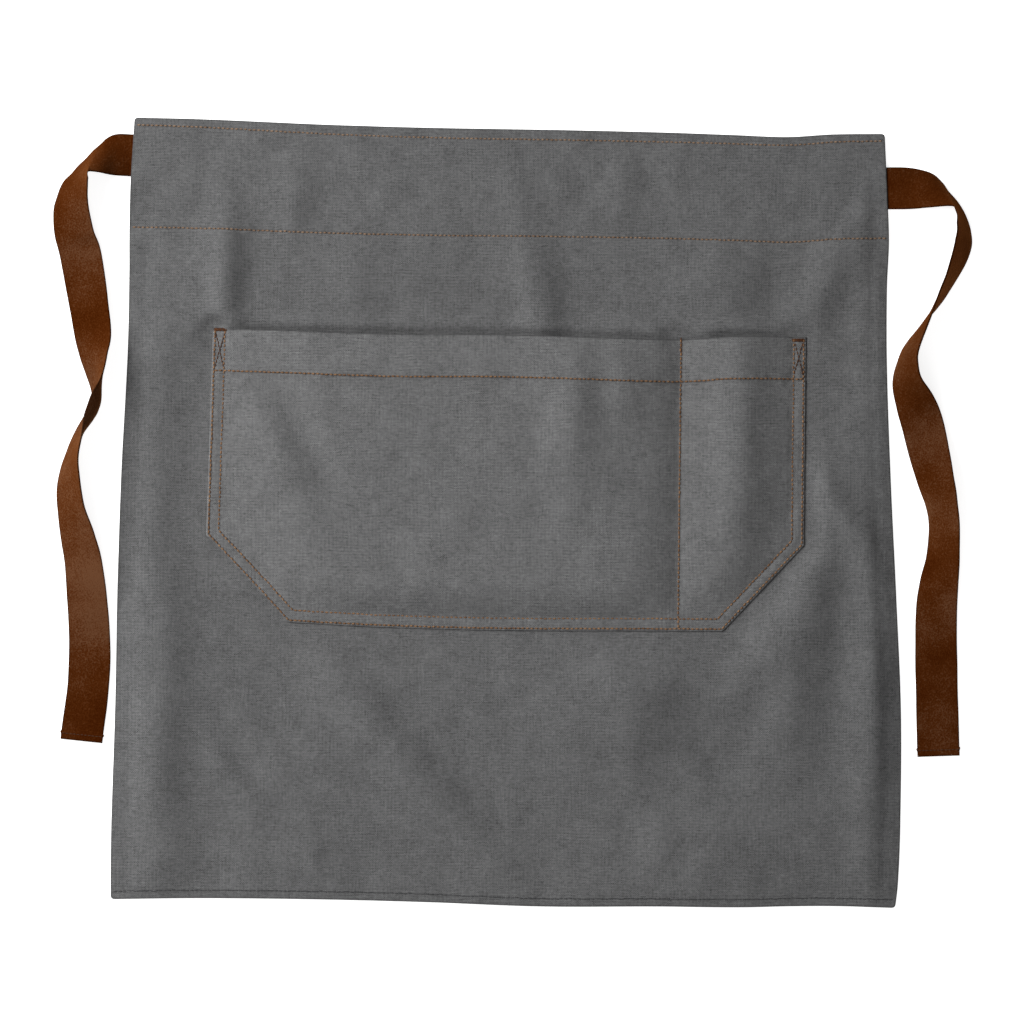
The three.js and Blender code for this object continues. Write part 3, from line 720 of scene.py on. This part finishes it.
TIE_HEM_LINES = np.array([0.5, 1, 1.6, 2.4, 3.4, 4.4, 5.4, 6.4, 7.2, 7.7, 7.95, TIE_HEM_LENGTH])
TIE_EDGE_LINES = np.array([0, 0.15, 0.45, 0.9])
TIE_ACROSS = lines_across(TIE_WIDTH, TIE_CELL, 2, TIE_EDGE_LINES) / TIE_WIDTH - 0.5


def strap_path(tie):
    """Rings along a tie: their middles in plan, angles, curl, lift and run into the end's hem."""
    rows, drop, outward = tie["rows"], tie["drop"], tie["outward"]
    count = len(rows["out"])
    numbered = dict(rows, at=np.arange(count, dtype=float))
    at = np.linspace(0, count - 1, (count - 1) * TIE_STEPS + 1)
    path = {column: curve(numbered, "at", column, at) for column in rows}
    out, down = path["out"] * drop, path["down"] * drop
    lift = TIE_LAYER * (1 - smoothstep(out, SEAM_ALLOWANCE, TIE_WIDTH))
    inside = np.linspace(-TIE_TUCK, -2, 10)

    def spread(values, first):
        return np.concatenate([
            np.full(len(inside), first), values, np.full(len(TIE_HEM_LINES), values[-1]),
        ])

    turn = np.radians(path["turn"])
    forward = (outward * math.cos(turn[-1]), -math.sin(turn[-1]))
    x = np.concatenate([
        tie["exit_x"] + outward * inside, tie["exit_x"] + outward * out,
        tie["exit_x"] + outward * out[-1] + forward[0] * TIE_HEM_LINES,
    ])
    y = np.concatenate([
        np.full(len(inside), tie["exit_y"]), tie["exit_y"] - down,
        tie["exit_y"] - down[-1] + forward[1] * TIE_HEM_LINES,
    ])
    run = np.concatenate([np.zeros(len(inside) + len(at)), TIE_HEM_LINES])
    turn, tilt, curl = (spread(values, 0) for values in (turn, np.radians(path["tilt"]), path["curl"]))
    return x, y, turn, tilt, curl, spread(lift, TIE_LAYER), run


def strap_rings(tie):
    """Rings of points round a tie, how far each is along it, its run and the way it faces."""
    outward = tie["outward"]
    x, y, turn, tilt, curl, lift, run = strap_path(tie)
    hem = smoothstep(run, 0.3, 1.6)
    closing = 0.35 + 0.65 * quarter_round(TIE_HEM_LENGTH - run, 1)
    thick = (TIE_THICKNESS + TIE_HEM_EXTRA * hem) * closing
    ears = 1.6 * np.exp(-((run - 1.2) / 1.3) ** 2) * (run > 0)
    length = np.concatenate([[0], np.cumsum(np.hypot(np.diff(x), np.diff(y)))])
    width = TIE_WIDTH + ears + 0.35 * SWELL(length, length * 0 + 7 * outward, 23)
    plan, up = np.stack([-outward * np.sin(turn), -np.cos(turn), turn * 0], -1), np.array([0, 0, 1])
    cosine, sine = np.cos(tilt)[:, None], np.sin(tilt)[:, None]
    ruling, face = plan * cosine + up * sine, up * cosine - plan * sine
    chord = width * np.sqrt(1 - 16 / 3 * curl ** 2)
    q = TIE_ACROSS
    bow = -curl[:, None] * TIE_WIDTH * (1 - 4 * q ** 2)
    wave = 0.22 * GRAIN(length[:, None] + q * 9, q * TIE_WIDTH + 60 * outward, 13, 17)
    centre = np.stack([x, y, np.zeros_like(x)], -1)[:, None, :]
    centre = centre + ruling[:, None, :] * (q * chord[:, None])[..., None]
    centre = centre + face[:, None, :] * (bow + wave)[..., None]
    from_edge = (0.5 - np.abs(q)) * TIE_WIDTH
    swell = quarter_round(from_edge, 0.8) * 0.8 + 0.2
    half = thick[:, None] / 2 * swell
    upper = centre + face[:, None, :] * half[..., None]
    lower = centre - face[:, None, :] * half[..., None]
    ring = np.concatenate([upper, lower[:, ::-1]], 1)
    ring[..., 2] += (lift - ring[..., 2].min(1))[:, None]
    return ring, length, run, face


def strap_faces(rings, size, outward):
    """Faces round a tie and over its two ends, each facing out."""
    index = np.arange(rings * size).reshape(rings, size)
    body = quads(np.concatenate([index, index[:, :1]], 1))
    i = np.arange(size // 2 - 1)
    start = np.stack([index[0, i], index[0, i + 1], index[0, size - 2 - i], index[0, size - 1 - i]], -1)
    end = np.stack([index[-1, i], index[-1, size - 1 - i], index[-1, size - 2 - i], index[-1, i + 1]], -1)
    turn = 1 if outward < 0 else -1
    return [group[:, ::turn] for group in (body, start, end)]


def strap(tie, material):
    """Closed strap, and the line across its end that its stitches follow."""
    ring, length, run, face = strap_rings(tie)
    rings, size = ring.shape[:2]
    from_edge = (0.5 - np.abs(TIE_ACROSS)) * TIE_WIDTH
    edge = 1 - smoothstep(np.concatenate([from_edge, from_edge[::-1]]), 0.3, 1.3)
    edge = np.maximum(edge, 1 - smoothstep(TIE_HEM_LENGTH - run, 0.3, 1.4)[:, None])
    painted_sheen = tie["painted_sheen"]
    # Painted highlight: lighter base colour at places along the tie where it catches the light
    painted_highlight = painted_sheen["depth"] * np.exp(-((length[:, None] - painted_sheen["at"]) / painted_sheen["reach"]) ** 2)
    piece = mesh_object(
        "apron_" + tie["name"], ring.reshape(-1, 3), strap_faces(rings, size, tie["outward"]), material,
        {"edge": edge, "painted_highlight": np.repeat(painted_highlight.sum(1), size)},
    )
    row = np.argmin(np.abs(run - TIE_ROW_INSET))
    upper, lower = ring[row, :size // 2], ring[row, size // 2:]
    facing_up = upper if face[row, 2] > 0 else lower
    return piece, facing_up[3:-3]


# Stitches

def along(points, step):
    """Evenly spaced points along a line of points."""
    points = np.asarray(points, float)
    runs = np.concatenate([[0], np.cumsum(np.linalg.norm(np.diff(points, axis=0), axis=1))])
    count = max(int(round(runs[-1] / step)), 1)
    at = np.linspace(0, runs[-1], count + 1)
    return np.stack([np.interp(at, runs, points[:, k]) for k in range(points.shape[1])], -1)


def along_and_aside(runs):
    """Unit vectors along runs in plan, and those to their left."""
    runs = runs / np.linalg.norm(runs, axis=1)[:, None]
    return runs, np.stack([-runs[:, 1], runs[:, 0]], -1)


def stitch_row(points, rng, pitch=STITCH_PITCH, length=STITCH_LENGTH, waver=0.12):
    """Start and end of each stitch of a row along a line of points."""
    marks = along(points, pitch)
    start, end = marks[:-1], marks[1:]
    middle = (start + end) / 2
    run, side = along_and_aside(end - start)
    half = (length / 2 * rng.uniform(0.86, 1.08, len(middle)))[:, None]
    middle = middle + side * rng.normal(0, waver, len(middle))[:, None]
    lean = side * rng.normal(0, waver, len(middle))[:, None]
    return np.stack([middle - run * half - lean, middle + run * half + lean], 1)


RING = np.linspace(0, 2 * math.pi, 7)[:-1]
STATIONS = np.array([0, 0.1, 0.28, 0.5, 0.72, 0.9, 1])


def stitch_mesh(name, stitches, layers, material, radius=STITCH_RADIUS, sink=0.4, rise=0.4):
    """Threads that arch out of the cloth and back into it, as one piece."""
    start, end = np.concatenate(stitches).swapaxes(0, 1)
    count, t, size = len(start), STATIONS, len(RING)
    centre = lerp(start[:, None], end[:, None], t[:, None])
    ground = layers(centre[..., 0], centre[..., 1])[0]
    arch = radius * (-sink + (sink + rise) * np.sin(math.pi * t) ** 0.6)
    side = along_and_aside(end - start)[1]
    around = (radius * np.sqrt(np.maximum(1 - (2 * t - 1) ** 4, 0.4)))[:, None]
    points = np.empty((count, len(t), size, 3))
    points[..., :2] = centre[:, :, None] + side[:, None, None] * (around * np.cos(RING))[..., None]
    points[..., 2] = (ground + arch)[..., None] + around * np.sin(RING)
    index = np.arange(count * len(t) * size).reshape(points.shape[:3])
    body = quads(np.concatenate([index, index[..., :1]], -1))[:, ::-1]
    caps = np.concatenate([index[:, 0, :], index[:, -1, ::-1]])
    # Painted shade where each stitch dips into the cloth, stored in the edge attribute
    dip_shade = np.broadcast_to(smoothstep(np.abs(2 * t - 1), 0.3, 0.7)[:, None], points.shape[:3])
    return mesh_object(name, points.reshape(-1, 3), [body, caps], material, {"edge": dip_shade})


def pixel(u, v):
    """A point of the photograph in millimetres."""
    return np.array([(u - PHOTO_MIDDLE) * PIXEL, (PHOTO_MIDDLE - v) * PIXEL])


def inset_line(edge, distance):
    """Line at a distance inside a part of the pocket's sewn edge."""
    normals = along_and_aside(np.diff(edge, axis=0))[1]
    before, after = np.concatenate([normals[:1], normals]), np.concatenate([normals, normals[-1:]])
    return edge + (before + after) * (distance / (1 + (before * after).sum(1)))[:, None]


def skirt_rows():
    rng = np.random.default_rng(21)
    a = np.linspace(0.0035, 0.9965, 240)
    drops = waist_row_drop(a), seam_drop(a)
    return [stitch_row(skirt_line(a, waist_at(a) - drop), rng) for drop in drops]


def hem_rows():
    rng = np.random.default_rng(22)
    a = np.linspace(0.004, 0.996, 240)
    return [stitch_row(skirt_line(a, hem_at(a) + HEM_ROW_INSET), rng, waver=0.2)]


def pocket_rows():
    rng = np.random.default_rng(23)
    corners = np.cumsum([0, len(LEFT_SIDE), len(FIRST_CHAMFER) - 1, len(LOWER_EDGE) - 1,
                         len(SECOND_CHAMFER) - 1, len(RIGHT_SIDE)])
    rows = []
    for distance in RIM_ROWS:
        line = inset_line(SEWN_EDGE, distance)
        line[0] += (line[1] - line[0]) * 0.008
        line[-1] += (line[-2] - line[-1]) * 0.008
        for first, last in zip(corners[:-1], corners[1:]):
            rows.append(stitch_row(line[first:last + 1], rng))
    a = np.linspace(0.0036, 0.9964, 160)
    y = pocket_mouth(a) - POCKET_HEM_HEIGHT
    b = (y - pocket_lower(a)) / (pocket_mouth(a) - pocket_lower(a))
    rows.append(stitch_row(np.stack([pocket_point(a, b)[0], y], -1), rng))
    top, low = POCKET_MOUTH - 3.5, POCKET_MOUTH - POCKET_HEIGHT + 1.8
    rows.append(stitch_row([[divider_x(top), top], [divider_x(low), low]], rng))
    return rows


def tack_rows():
    """Dense tacks at the mouth's ends and at the divider, and the crosses under the tacks."""
    rng = np.random.default_rng(24)
    rows = []

    def sew(start, end, pitch, length, waver):
        rows.append(stitch_row([pixel(*start), pixel(*end)], rng, pitch, length, waver))

    for tack in MOUTH_TACKS:
        left, right, top = tack["left"], tack["right"], tack["top"]
        for u in np.linspace(left, right, MOUTH_TACK_THREADS):
            sew((u, top - 1.6), (u + 0.5, top + 1.6), 9, 3.0, 0.08)
        for v in (top - 1.1, top + 1.1):
            sew((left, v), (right, v), 3.0, 2.9, 0.05)
        for start, end in tack["crosses"]:
            sew(start, end, 3.6, 3.5, 0.1)
    for k in range(DIVIDER_TACK["threads"]):
        v = DIVIDER_TACK["top"] + k * DIVIDER_TACK["step"]
        sew((DIVIDER_TACK["left"], v), (DIVIDER_TACK["right"], v + 0.5), 9, 2.1, 0.1)
    return rows


# Materials

YARN_CONTRAST = 1.05
LEATHER_DARK = (0.024, 0.0042, 0.0002)
LEATHER_MIDDLE = (0.04, 0.01, 0.0018)
LEATHER_LIGHT = (0.068, 0.0285, 0.013)
LEATHER_SHEEN = (1.0, 0.36, 0.11, 1.0)


class Graph:
    """Short way to build a material's nodes."""

    def __init__(self, name):
        self.material = bpy.data.materials.new(name)
        self.material.use_nodes = True
        self.tree = self.material.node_tree
        self.tree.nodes.clear()

    def node(self, kind, outlet=0, inputs=None, **settings):
        node = self.tree.nodes.new(kind)
        for key, value in settings.items():
            setattr(node, key, value)
        for key, value in (inputs or {}).items():
            self.feed(node.inputs[key], value)
        return node.outputs[outlet]

    def feed(self, socket, value):
        if isinstance(value, bpy.types.NodeSocket):
            self.tree.links.new(value, socket)
        else:
            socket.default_value = value

    def math(self, operation, *values):
        return self.node("ShaderNodeMath", inputs=dict(enumerate(values)), operation=operation)

    def vector(self, x, y):
        return self.node("ShaderNodeCombineXYZ", inputs={"X": x, "Y": y})

    def scaled(self, x, across, y, up):
        return self.vector(self.math("MULTIPLY", x, across), self.math("MULTIPLY", y, up))

    def millimetres(self):
        """Place on the piece in millimetres."""
        place = self.node("ShaderNodeTexCoord", "Object")
        return self.node("ShaderNodeVectorMath", inputs={0: place, "Scale": 1000.0}, operation="SCALE")

    def attribute(self, name):
        return self.node("ShaderNodeAttribute", "Fac", attribute_name=name)

    def vary(self, share, value, weight, middle=0.5):
        """Share raised and lowered by how far a value is from its middle."""
        offset = self.math("SUBTRACT", value, middle)
        return self.math("ADD", share, self.math("MULTIPLY", offset, weight))

    def darker(self, full, value, weight):
        return self.math("SUBTRACT", full, self.math("MULTIPLY", value, weight))

    def noise(self, vector, scale=1.0, detail=2.0, rough=0.5):
        return self.node("ShaderNodeTexNoise", inputs={
            "Vector": vector, "Scale": scale, "Detail": detail, "Roughness": rough,
        })

    def ramp(self, value, *stops):
        node = self.tree.nodes.new("ShaderNodeValToRGB")
        self.feed(node.inputs["Fac"], value)
        elements = node.color_ramp.elements
        for stop, element in zip(stops, elements):
            element.position, element.color = stop[0], (*stop[1], 1)
        for stop in stops[2:]:
            elements.new(stop[0]).color = (*stop[1], 1)
        return node.outputs["Color"]

    def range(self, value, low, high, to_low, to_high):
        return self.node("ShaderNodeMapRange", inputs={
            "Value": value, "From Min": low, "From Max": high, "To Min": to_low, "To Max": to_high,
        })

    def rib(self, across, pitch, presence, depth):
        """Light and dark lines that come and go with a noise."""
        wave = self.math("SINE", self.math("MULTIPLY", across, 2 * math.pi / pitch))
        return self.math("MULTIPLY", wave, self.range(presence, 0.36, 0.62, 0.15 * depth, depth))

    def tint(self, colour, value):
        """Colour times a value."""
        grey = self.node("ShaderNodeCombineColor", inputs=dict.fromkeys(("Red", "Green", "Blue"), value))
        return self.node("ShaderNodeMix", "Result", {"Factor": 1.0, "A": colour, "B": grey},
                         data_type="RGBA", blend_type="MULTIPLY")

    def bump(self, height, strength, distance):
        return self.node("ShaderNodeBump", inputs={
            "Strength": strength, "Distance": distance, "Height": height,
        })

    def finish(self, **inputs):
        shader = self.tree.nodes.new("ShaderNodeBsdfPrincipled")
        for key, value in inputs.items():
            self.feed(shader.inputs[key.replace("_", " ")], value)
        output = self.tree.nodes.new("ShaderNodeOutputMaterial")
        self.tree.links.new(shader.outputs["BSDF"], output.inputs["Surface"])
        return self.material


def canvas(name, dark, light, edge_shade):
    """Plain woven heather canvas with slubs, in the millimetres of the piece, with painted shade between
    the yarns and along the piece's edges.
    """
    g = Graph(name)
    mm = g.millimetres()
    drift = g.node("ShaderNodeTexNoise", "Color", {"Vector": mm, "Scale": 0.02, "Detail": 1.0})
    moved = g.node("ShaderNodeVectorMath", inputs={0: drift, 1: (5.0, 5.0, 5.0), 2: mm},
                   operation="MULTIPLY_ADD")
    part = g.node("ShaderNodeSeparateXYZ", inputs={0: moved}).node
    x, y = part.outputs["X"], part.outputs["Y"]
    column, row = g.math("FLOOR", x), g.math("FLOOR", y)
    over = g.math("FLOORED_MODULO", g.math("ADD", column, row), 2.0)
    warp = g.noise(g.scaled(column, 7.31, y, 0.25), 1.0, 3.0, 0.6)
    weft = g.noise(g.scaled(x, 0.22, row, 9.73), 1.0, 3.0, 0.6)
    yarn = g.node("ShaderNodeMix", inputs={"Factor": over, "A": weft, "B": warp})
    crown = g.math("MULTIPLY", *(
        g.math("SINE", g.math("MULTIPLY", g.math("FRACT", place), math.pi)) for place in (x, y)
    ))
    slub = g.range(g.noise(g.scaled(x, 0.035, y, 0.8)), 0.6, 0.75, 0.0, 0.08)
    picks = g.noise(g.scaled(x, 0.07, y, 0.8), detail=1.0)
    ends = g.noise(g.scaled(x, 0.75, y, 0.06), detail=1.0)
    pick_rib = g.rib(y, RIB_OF_PICKS, g.noise(mm, 0.03, 2.0, 0.6), 0.075)
    end_rib = g.rib(x, RIB_OF_ENDS, g.noise(mm, 0.041, 2.0, 0.6), 0.055)
    fleck = g.noise(mm, 0.9, 2.0, 0.7)
    mottle = g.noise(mm, 0.2, 2.0, 0.6)
    cloud = g.noise(mm, 0.045, 3.0, 0.55)
    share = 0.5
    for value, weight in ((yarn, 1), (weft, 0.5), (fleck, 0.2), (picks, 0.28), (ends, 0.3)):
        share = g.vary(share, value, weight * YARN_CONTRAST)
    for value, weight in ((mottle, 0.08), (cloud, 0.38)):
        share = g.vary(share, value, weight)
    share = g.math("ADD", g.math("ADD", share, slub), g.math("ADD", pick_rib, end_rib))
    share = g.vary(share, over, 0.2)
    # Painted shade: the colour darkens between the yarns and, by the edge attribute, along the turned
    # edges
    shade = g.math("MULTIPLY", g.math("ADD", g.math("MULTIPLY", crown, 0.44), 0.75),
                   g.darker(1.0, g.attribute("edge"), edge_shade))
    colour = g.tint(g.ramp(share, (0.0, dark), (1.0, light)), shade)
    relief = g.math("ADD", crown, g.math("MULTIPLY", fleck, 0.6))
    return g.finish(Base_Color=colour, Roughness=g.range(fleck, 0.3, 0.7, 0.86, 0.96),
                    Normal=g.bump(relief, 0.75, 0.00022), Specular_IOR_Level=0.12,
                    Sheen_Weight=0.06, Sheen_Roughness=0.6)


def leather(name):
    """Grained leather with a slow patina, painted highlights where the ties catch the light, and dark
    edges.
    """
    g = Graph(name)
    mm = g.millimetres()
    fine = g.noise(mm, 0.8, 3.0, 0.65)
    grain = g.node("ShaderNodeTexVoronoi", "Distance", {"Vector": mm, "Scale": 0.75, "Randomness": 1.0})
    cloud = g.math("MULTIPLY", g.noise(mm, 0.05, 4.0, 0.6), 0.3)
    patina = g.math("MULTIPLY", g.noise(mm, 0.013, 1.0, 0.5), 0.4)
    share = g.math("ADD", g.math("ADD", cloud, g.math("MULTIPLY", fine, 0.3)), patina)
    share = g.vary(share, grain, 0.28, 0.4)
    # Painted highlight: base colour lighter where the ties catch the light, a little darker elsewhere
    painted_sheen = g.math("MULTIPLY", g.attribute("painted_highlight"), 0.19)
    share = g.math("ADD", share, g.math("SUBTRACT", painted_sheen, 0.09))
    colour = g.ramp(share, (0.3, LEATHER_DARK), (0.5, LEATHER_MIDDLE), (0.7, LEATHER_LIGHT))
    colour = g.tint(colour, g.darker(1.0, g.attribute("edge"), 0.5))
    relief = g.math("ADD", g.math("MULTIPLY", grain, 0.9), g.math("MULTIPLY", fine, 0.9))
    return g.finish(Base_Color=colour, Roughness=g.range(fine, 0.3, 0.7, 0.44, 0.62),
                    Normal=g.bump(relief, 0.9, 0.0003), Specular_IOR_Level=0.0,
                    Sheen_Weight=0.16, Sheen_Roughness=0.45, Sheen_Tint=LEATHER_SHEEN)


def thread(name, dark, light):
    """Twisted sewing thread, with painted shade between its plies and where it dips into the cloth."""
    g = Graph(name)
    mm = g.millimetres()
    tone = g.noise(mm, 0.12, 3.0, 0.7)
    ply = g.node("ShaderNodeTexWave", "Fac", {"Vector": mm, "Scale": 0.9, "Distortion": 1.5},
                 bands_direction="DIAGONAL")
    twist = g.math("ADD", g.math("MULTIPLY", ply, 0.4), 0.8)
    # Painted shade: darker bands between the plies and where the stitch dips into the cloth
    shade = g.darker(twist, g.attribute("edge"), 0.68)
    colour = g.tint(g.ramp(tone, (0.3, dark), (0.72, light)), shade)
    return g.finish(Base_Color=colour, Roughness=g.range(tone, 0.3, 0.7, 0.6, 0.75),
                    Normal=g.bump(ply, 0.6, 0.00015), Specular_IOR_Level=0.15, Sheen_Weight=0.05)


# The last number is the weight of the painted shade along each piece's edges
SKIRT_CLOTH = canvas("skirt_canvas", (0.0315, 0.0315, 0.032), (0.134, 0.134, 0.135), 0.45)
POCKET_CLOTH = canvas("pocket_canvas", (0.0365, 0.0365, 0.037), (0.156, 0.156, 0.157), 0.6)
LEATHER = leather("tie_leather")
WAIST_THREAD = thread("waist_thread", (0.12, 0.07, 0.041), (0.225, 0.15, 0.1))
THREAD = thread("pocket_thread", (0.1, 0.046, 0.019), (0.235, 0.132, 0.067))
TACK_THREAD = thread("tack_thread", (0.05, 0.016, 0.004), (0.095, 0.034, 0.01))
HEM_THREAD = thread("hem_thread", (0.03, 0.03, 0.031), (0.06, 0.06, 0.061))
TIE_THREAD = thread("tie_thread", (0.02, 0.007, 0.002), (0.07, 0.028, 0.01))

# Pieces

skirt_piece = skirt(SKIRT_CLOTH)
pocket_piece = pocket(POCKET_CLOTH)
facing_piece = facing(SKIRT_CLOTH)


def layer_of(line):
    """Heights of a tie's upper face on a line across it."""
    across, heights = np.array(sorted(zip(line[:, 0], line[:, 2]))).T
    return lambda x, y: [np.interp(x, across, heights)]


seams = stitch_mesh("waistband_stitches", skirt_rows(), skirt_layers, WAIST_THREAD)
hems = stitch_mesh("hem_stitches", hem_rows(), skirt_layers, HEM_THREAD, HEM_STITCH_RADIUS)
pocket_seams = stitch_mesh("pocket_stitches", pocket_rows(), pocket_layers, THREAD)
tacks = stitch_mesh("pocket_tacks", tack_rows(), pocket_layers, TACK_THREAD, TACK_RADIUS, 0.6, 0.9)

for piece, node, name in (
    (skirt_piece, "body_panel", "canvas"),
    (pocket_piece, "pocket_panel", "pocket_canvas"),
    (facing_piece, "waistband_facing", "canvas"),
):
    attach(piece, "root")
    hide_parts(node)

for tie in TIES:
    piece, line = strap(tie, LEATHER)
    rng = np.random.default_rng(31)
    marks = stitch_row(line[:, :2], rng, TIE_STITCH_PITCH, TIE_STITCH_LENGTH, 0.05)
    ends = stitch_mesh(
        tie["name"] + "_stitches", [marks], layer_of(line), TIE_THREAD, TIE_STITCH_RADIUS,
    )
    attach(piece, "root")
    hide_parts(tie["name"])
    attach(ends, "root")

for piece in (seams, hems, pocket_seams, tacks):
    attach(piece, "root")

# Floor, light and camera

floor_mesh = bpy.data.meshes.new("floor")
floor_mesh.from_pydata([(-9, -9, 0), (9, -9, 0), (9, 9, 0), (-9, 9, 0)], [], [(0, 1, 2, 3)])
floor = new_object("floor", floor_mesh)
ground = Graph("floor_paper")
spot = ground.node("ShaderNodeTexCoord", "Object")
fibres = ground.noise(spot, 3.0, 3.0, 0.5)
paper = ground.ramp(fibres, (0.3, (0.58, 0.58, 0.58)), (0.7, (0.61, 0.61, 0.61)))
floor_mesh.materials.append(ground.finish(
    Base_Color=paper, Roughness=0.9, Specular_IOR_Level=0.1,
    Emission_Color=(1, 1, 1, 1), Emission_Strength=0.84,
))


def softbox(name, place, size, power):
    """Lamp that faces the apron's middle."""
    light = bpy.data.lights.new(name, "AREA")
    light.shape, light.size, light.energy = "SQUARE", size, power
    lamp = new_object(name, light)
    lamp.location = place
    lamp.rotation_euler = (-Vector(place)).to_track_quat("-Z", "Y").to_euler()
    lamp.visible_camera = False


softbox("key_left", place=(-2.39, 1.22, 2.09), size=2.0, power=249)
softbox("fill_low", place=(0.3, -2.2, 2.2), size=1.6, power=28)

world = bpy.data.worlds.new("studio")
bpy.context.scene.world = world
world.use_nodes = True
sky = world.node_tree.nodes["Background"].inputs
sky["Color"].default_value = (1, 1, 1, 1)
sky["Strength"].default_value = 0.15

bpy.context.scene.view_settings.view_transform = "Standard"

VIEW_WIDTH = 0.9216
LENS = 300
SENSOR = 36
camera_data = bpy.data.cameras.new("camera")
camera_data.lens, camera_data.sensor_width = LENS, SENSOR
camera_data.clip_end = 60
camera = new_object("camera", camera_data)
camera.location = (SHIFT[0] * 0.001, SHIFT[1] * 0.001, VIEW_WIDTH * LENS / SENSOR)
bpy.context.scene.camera = camera
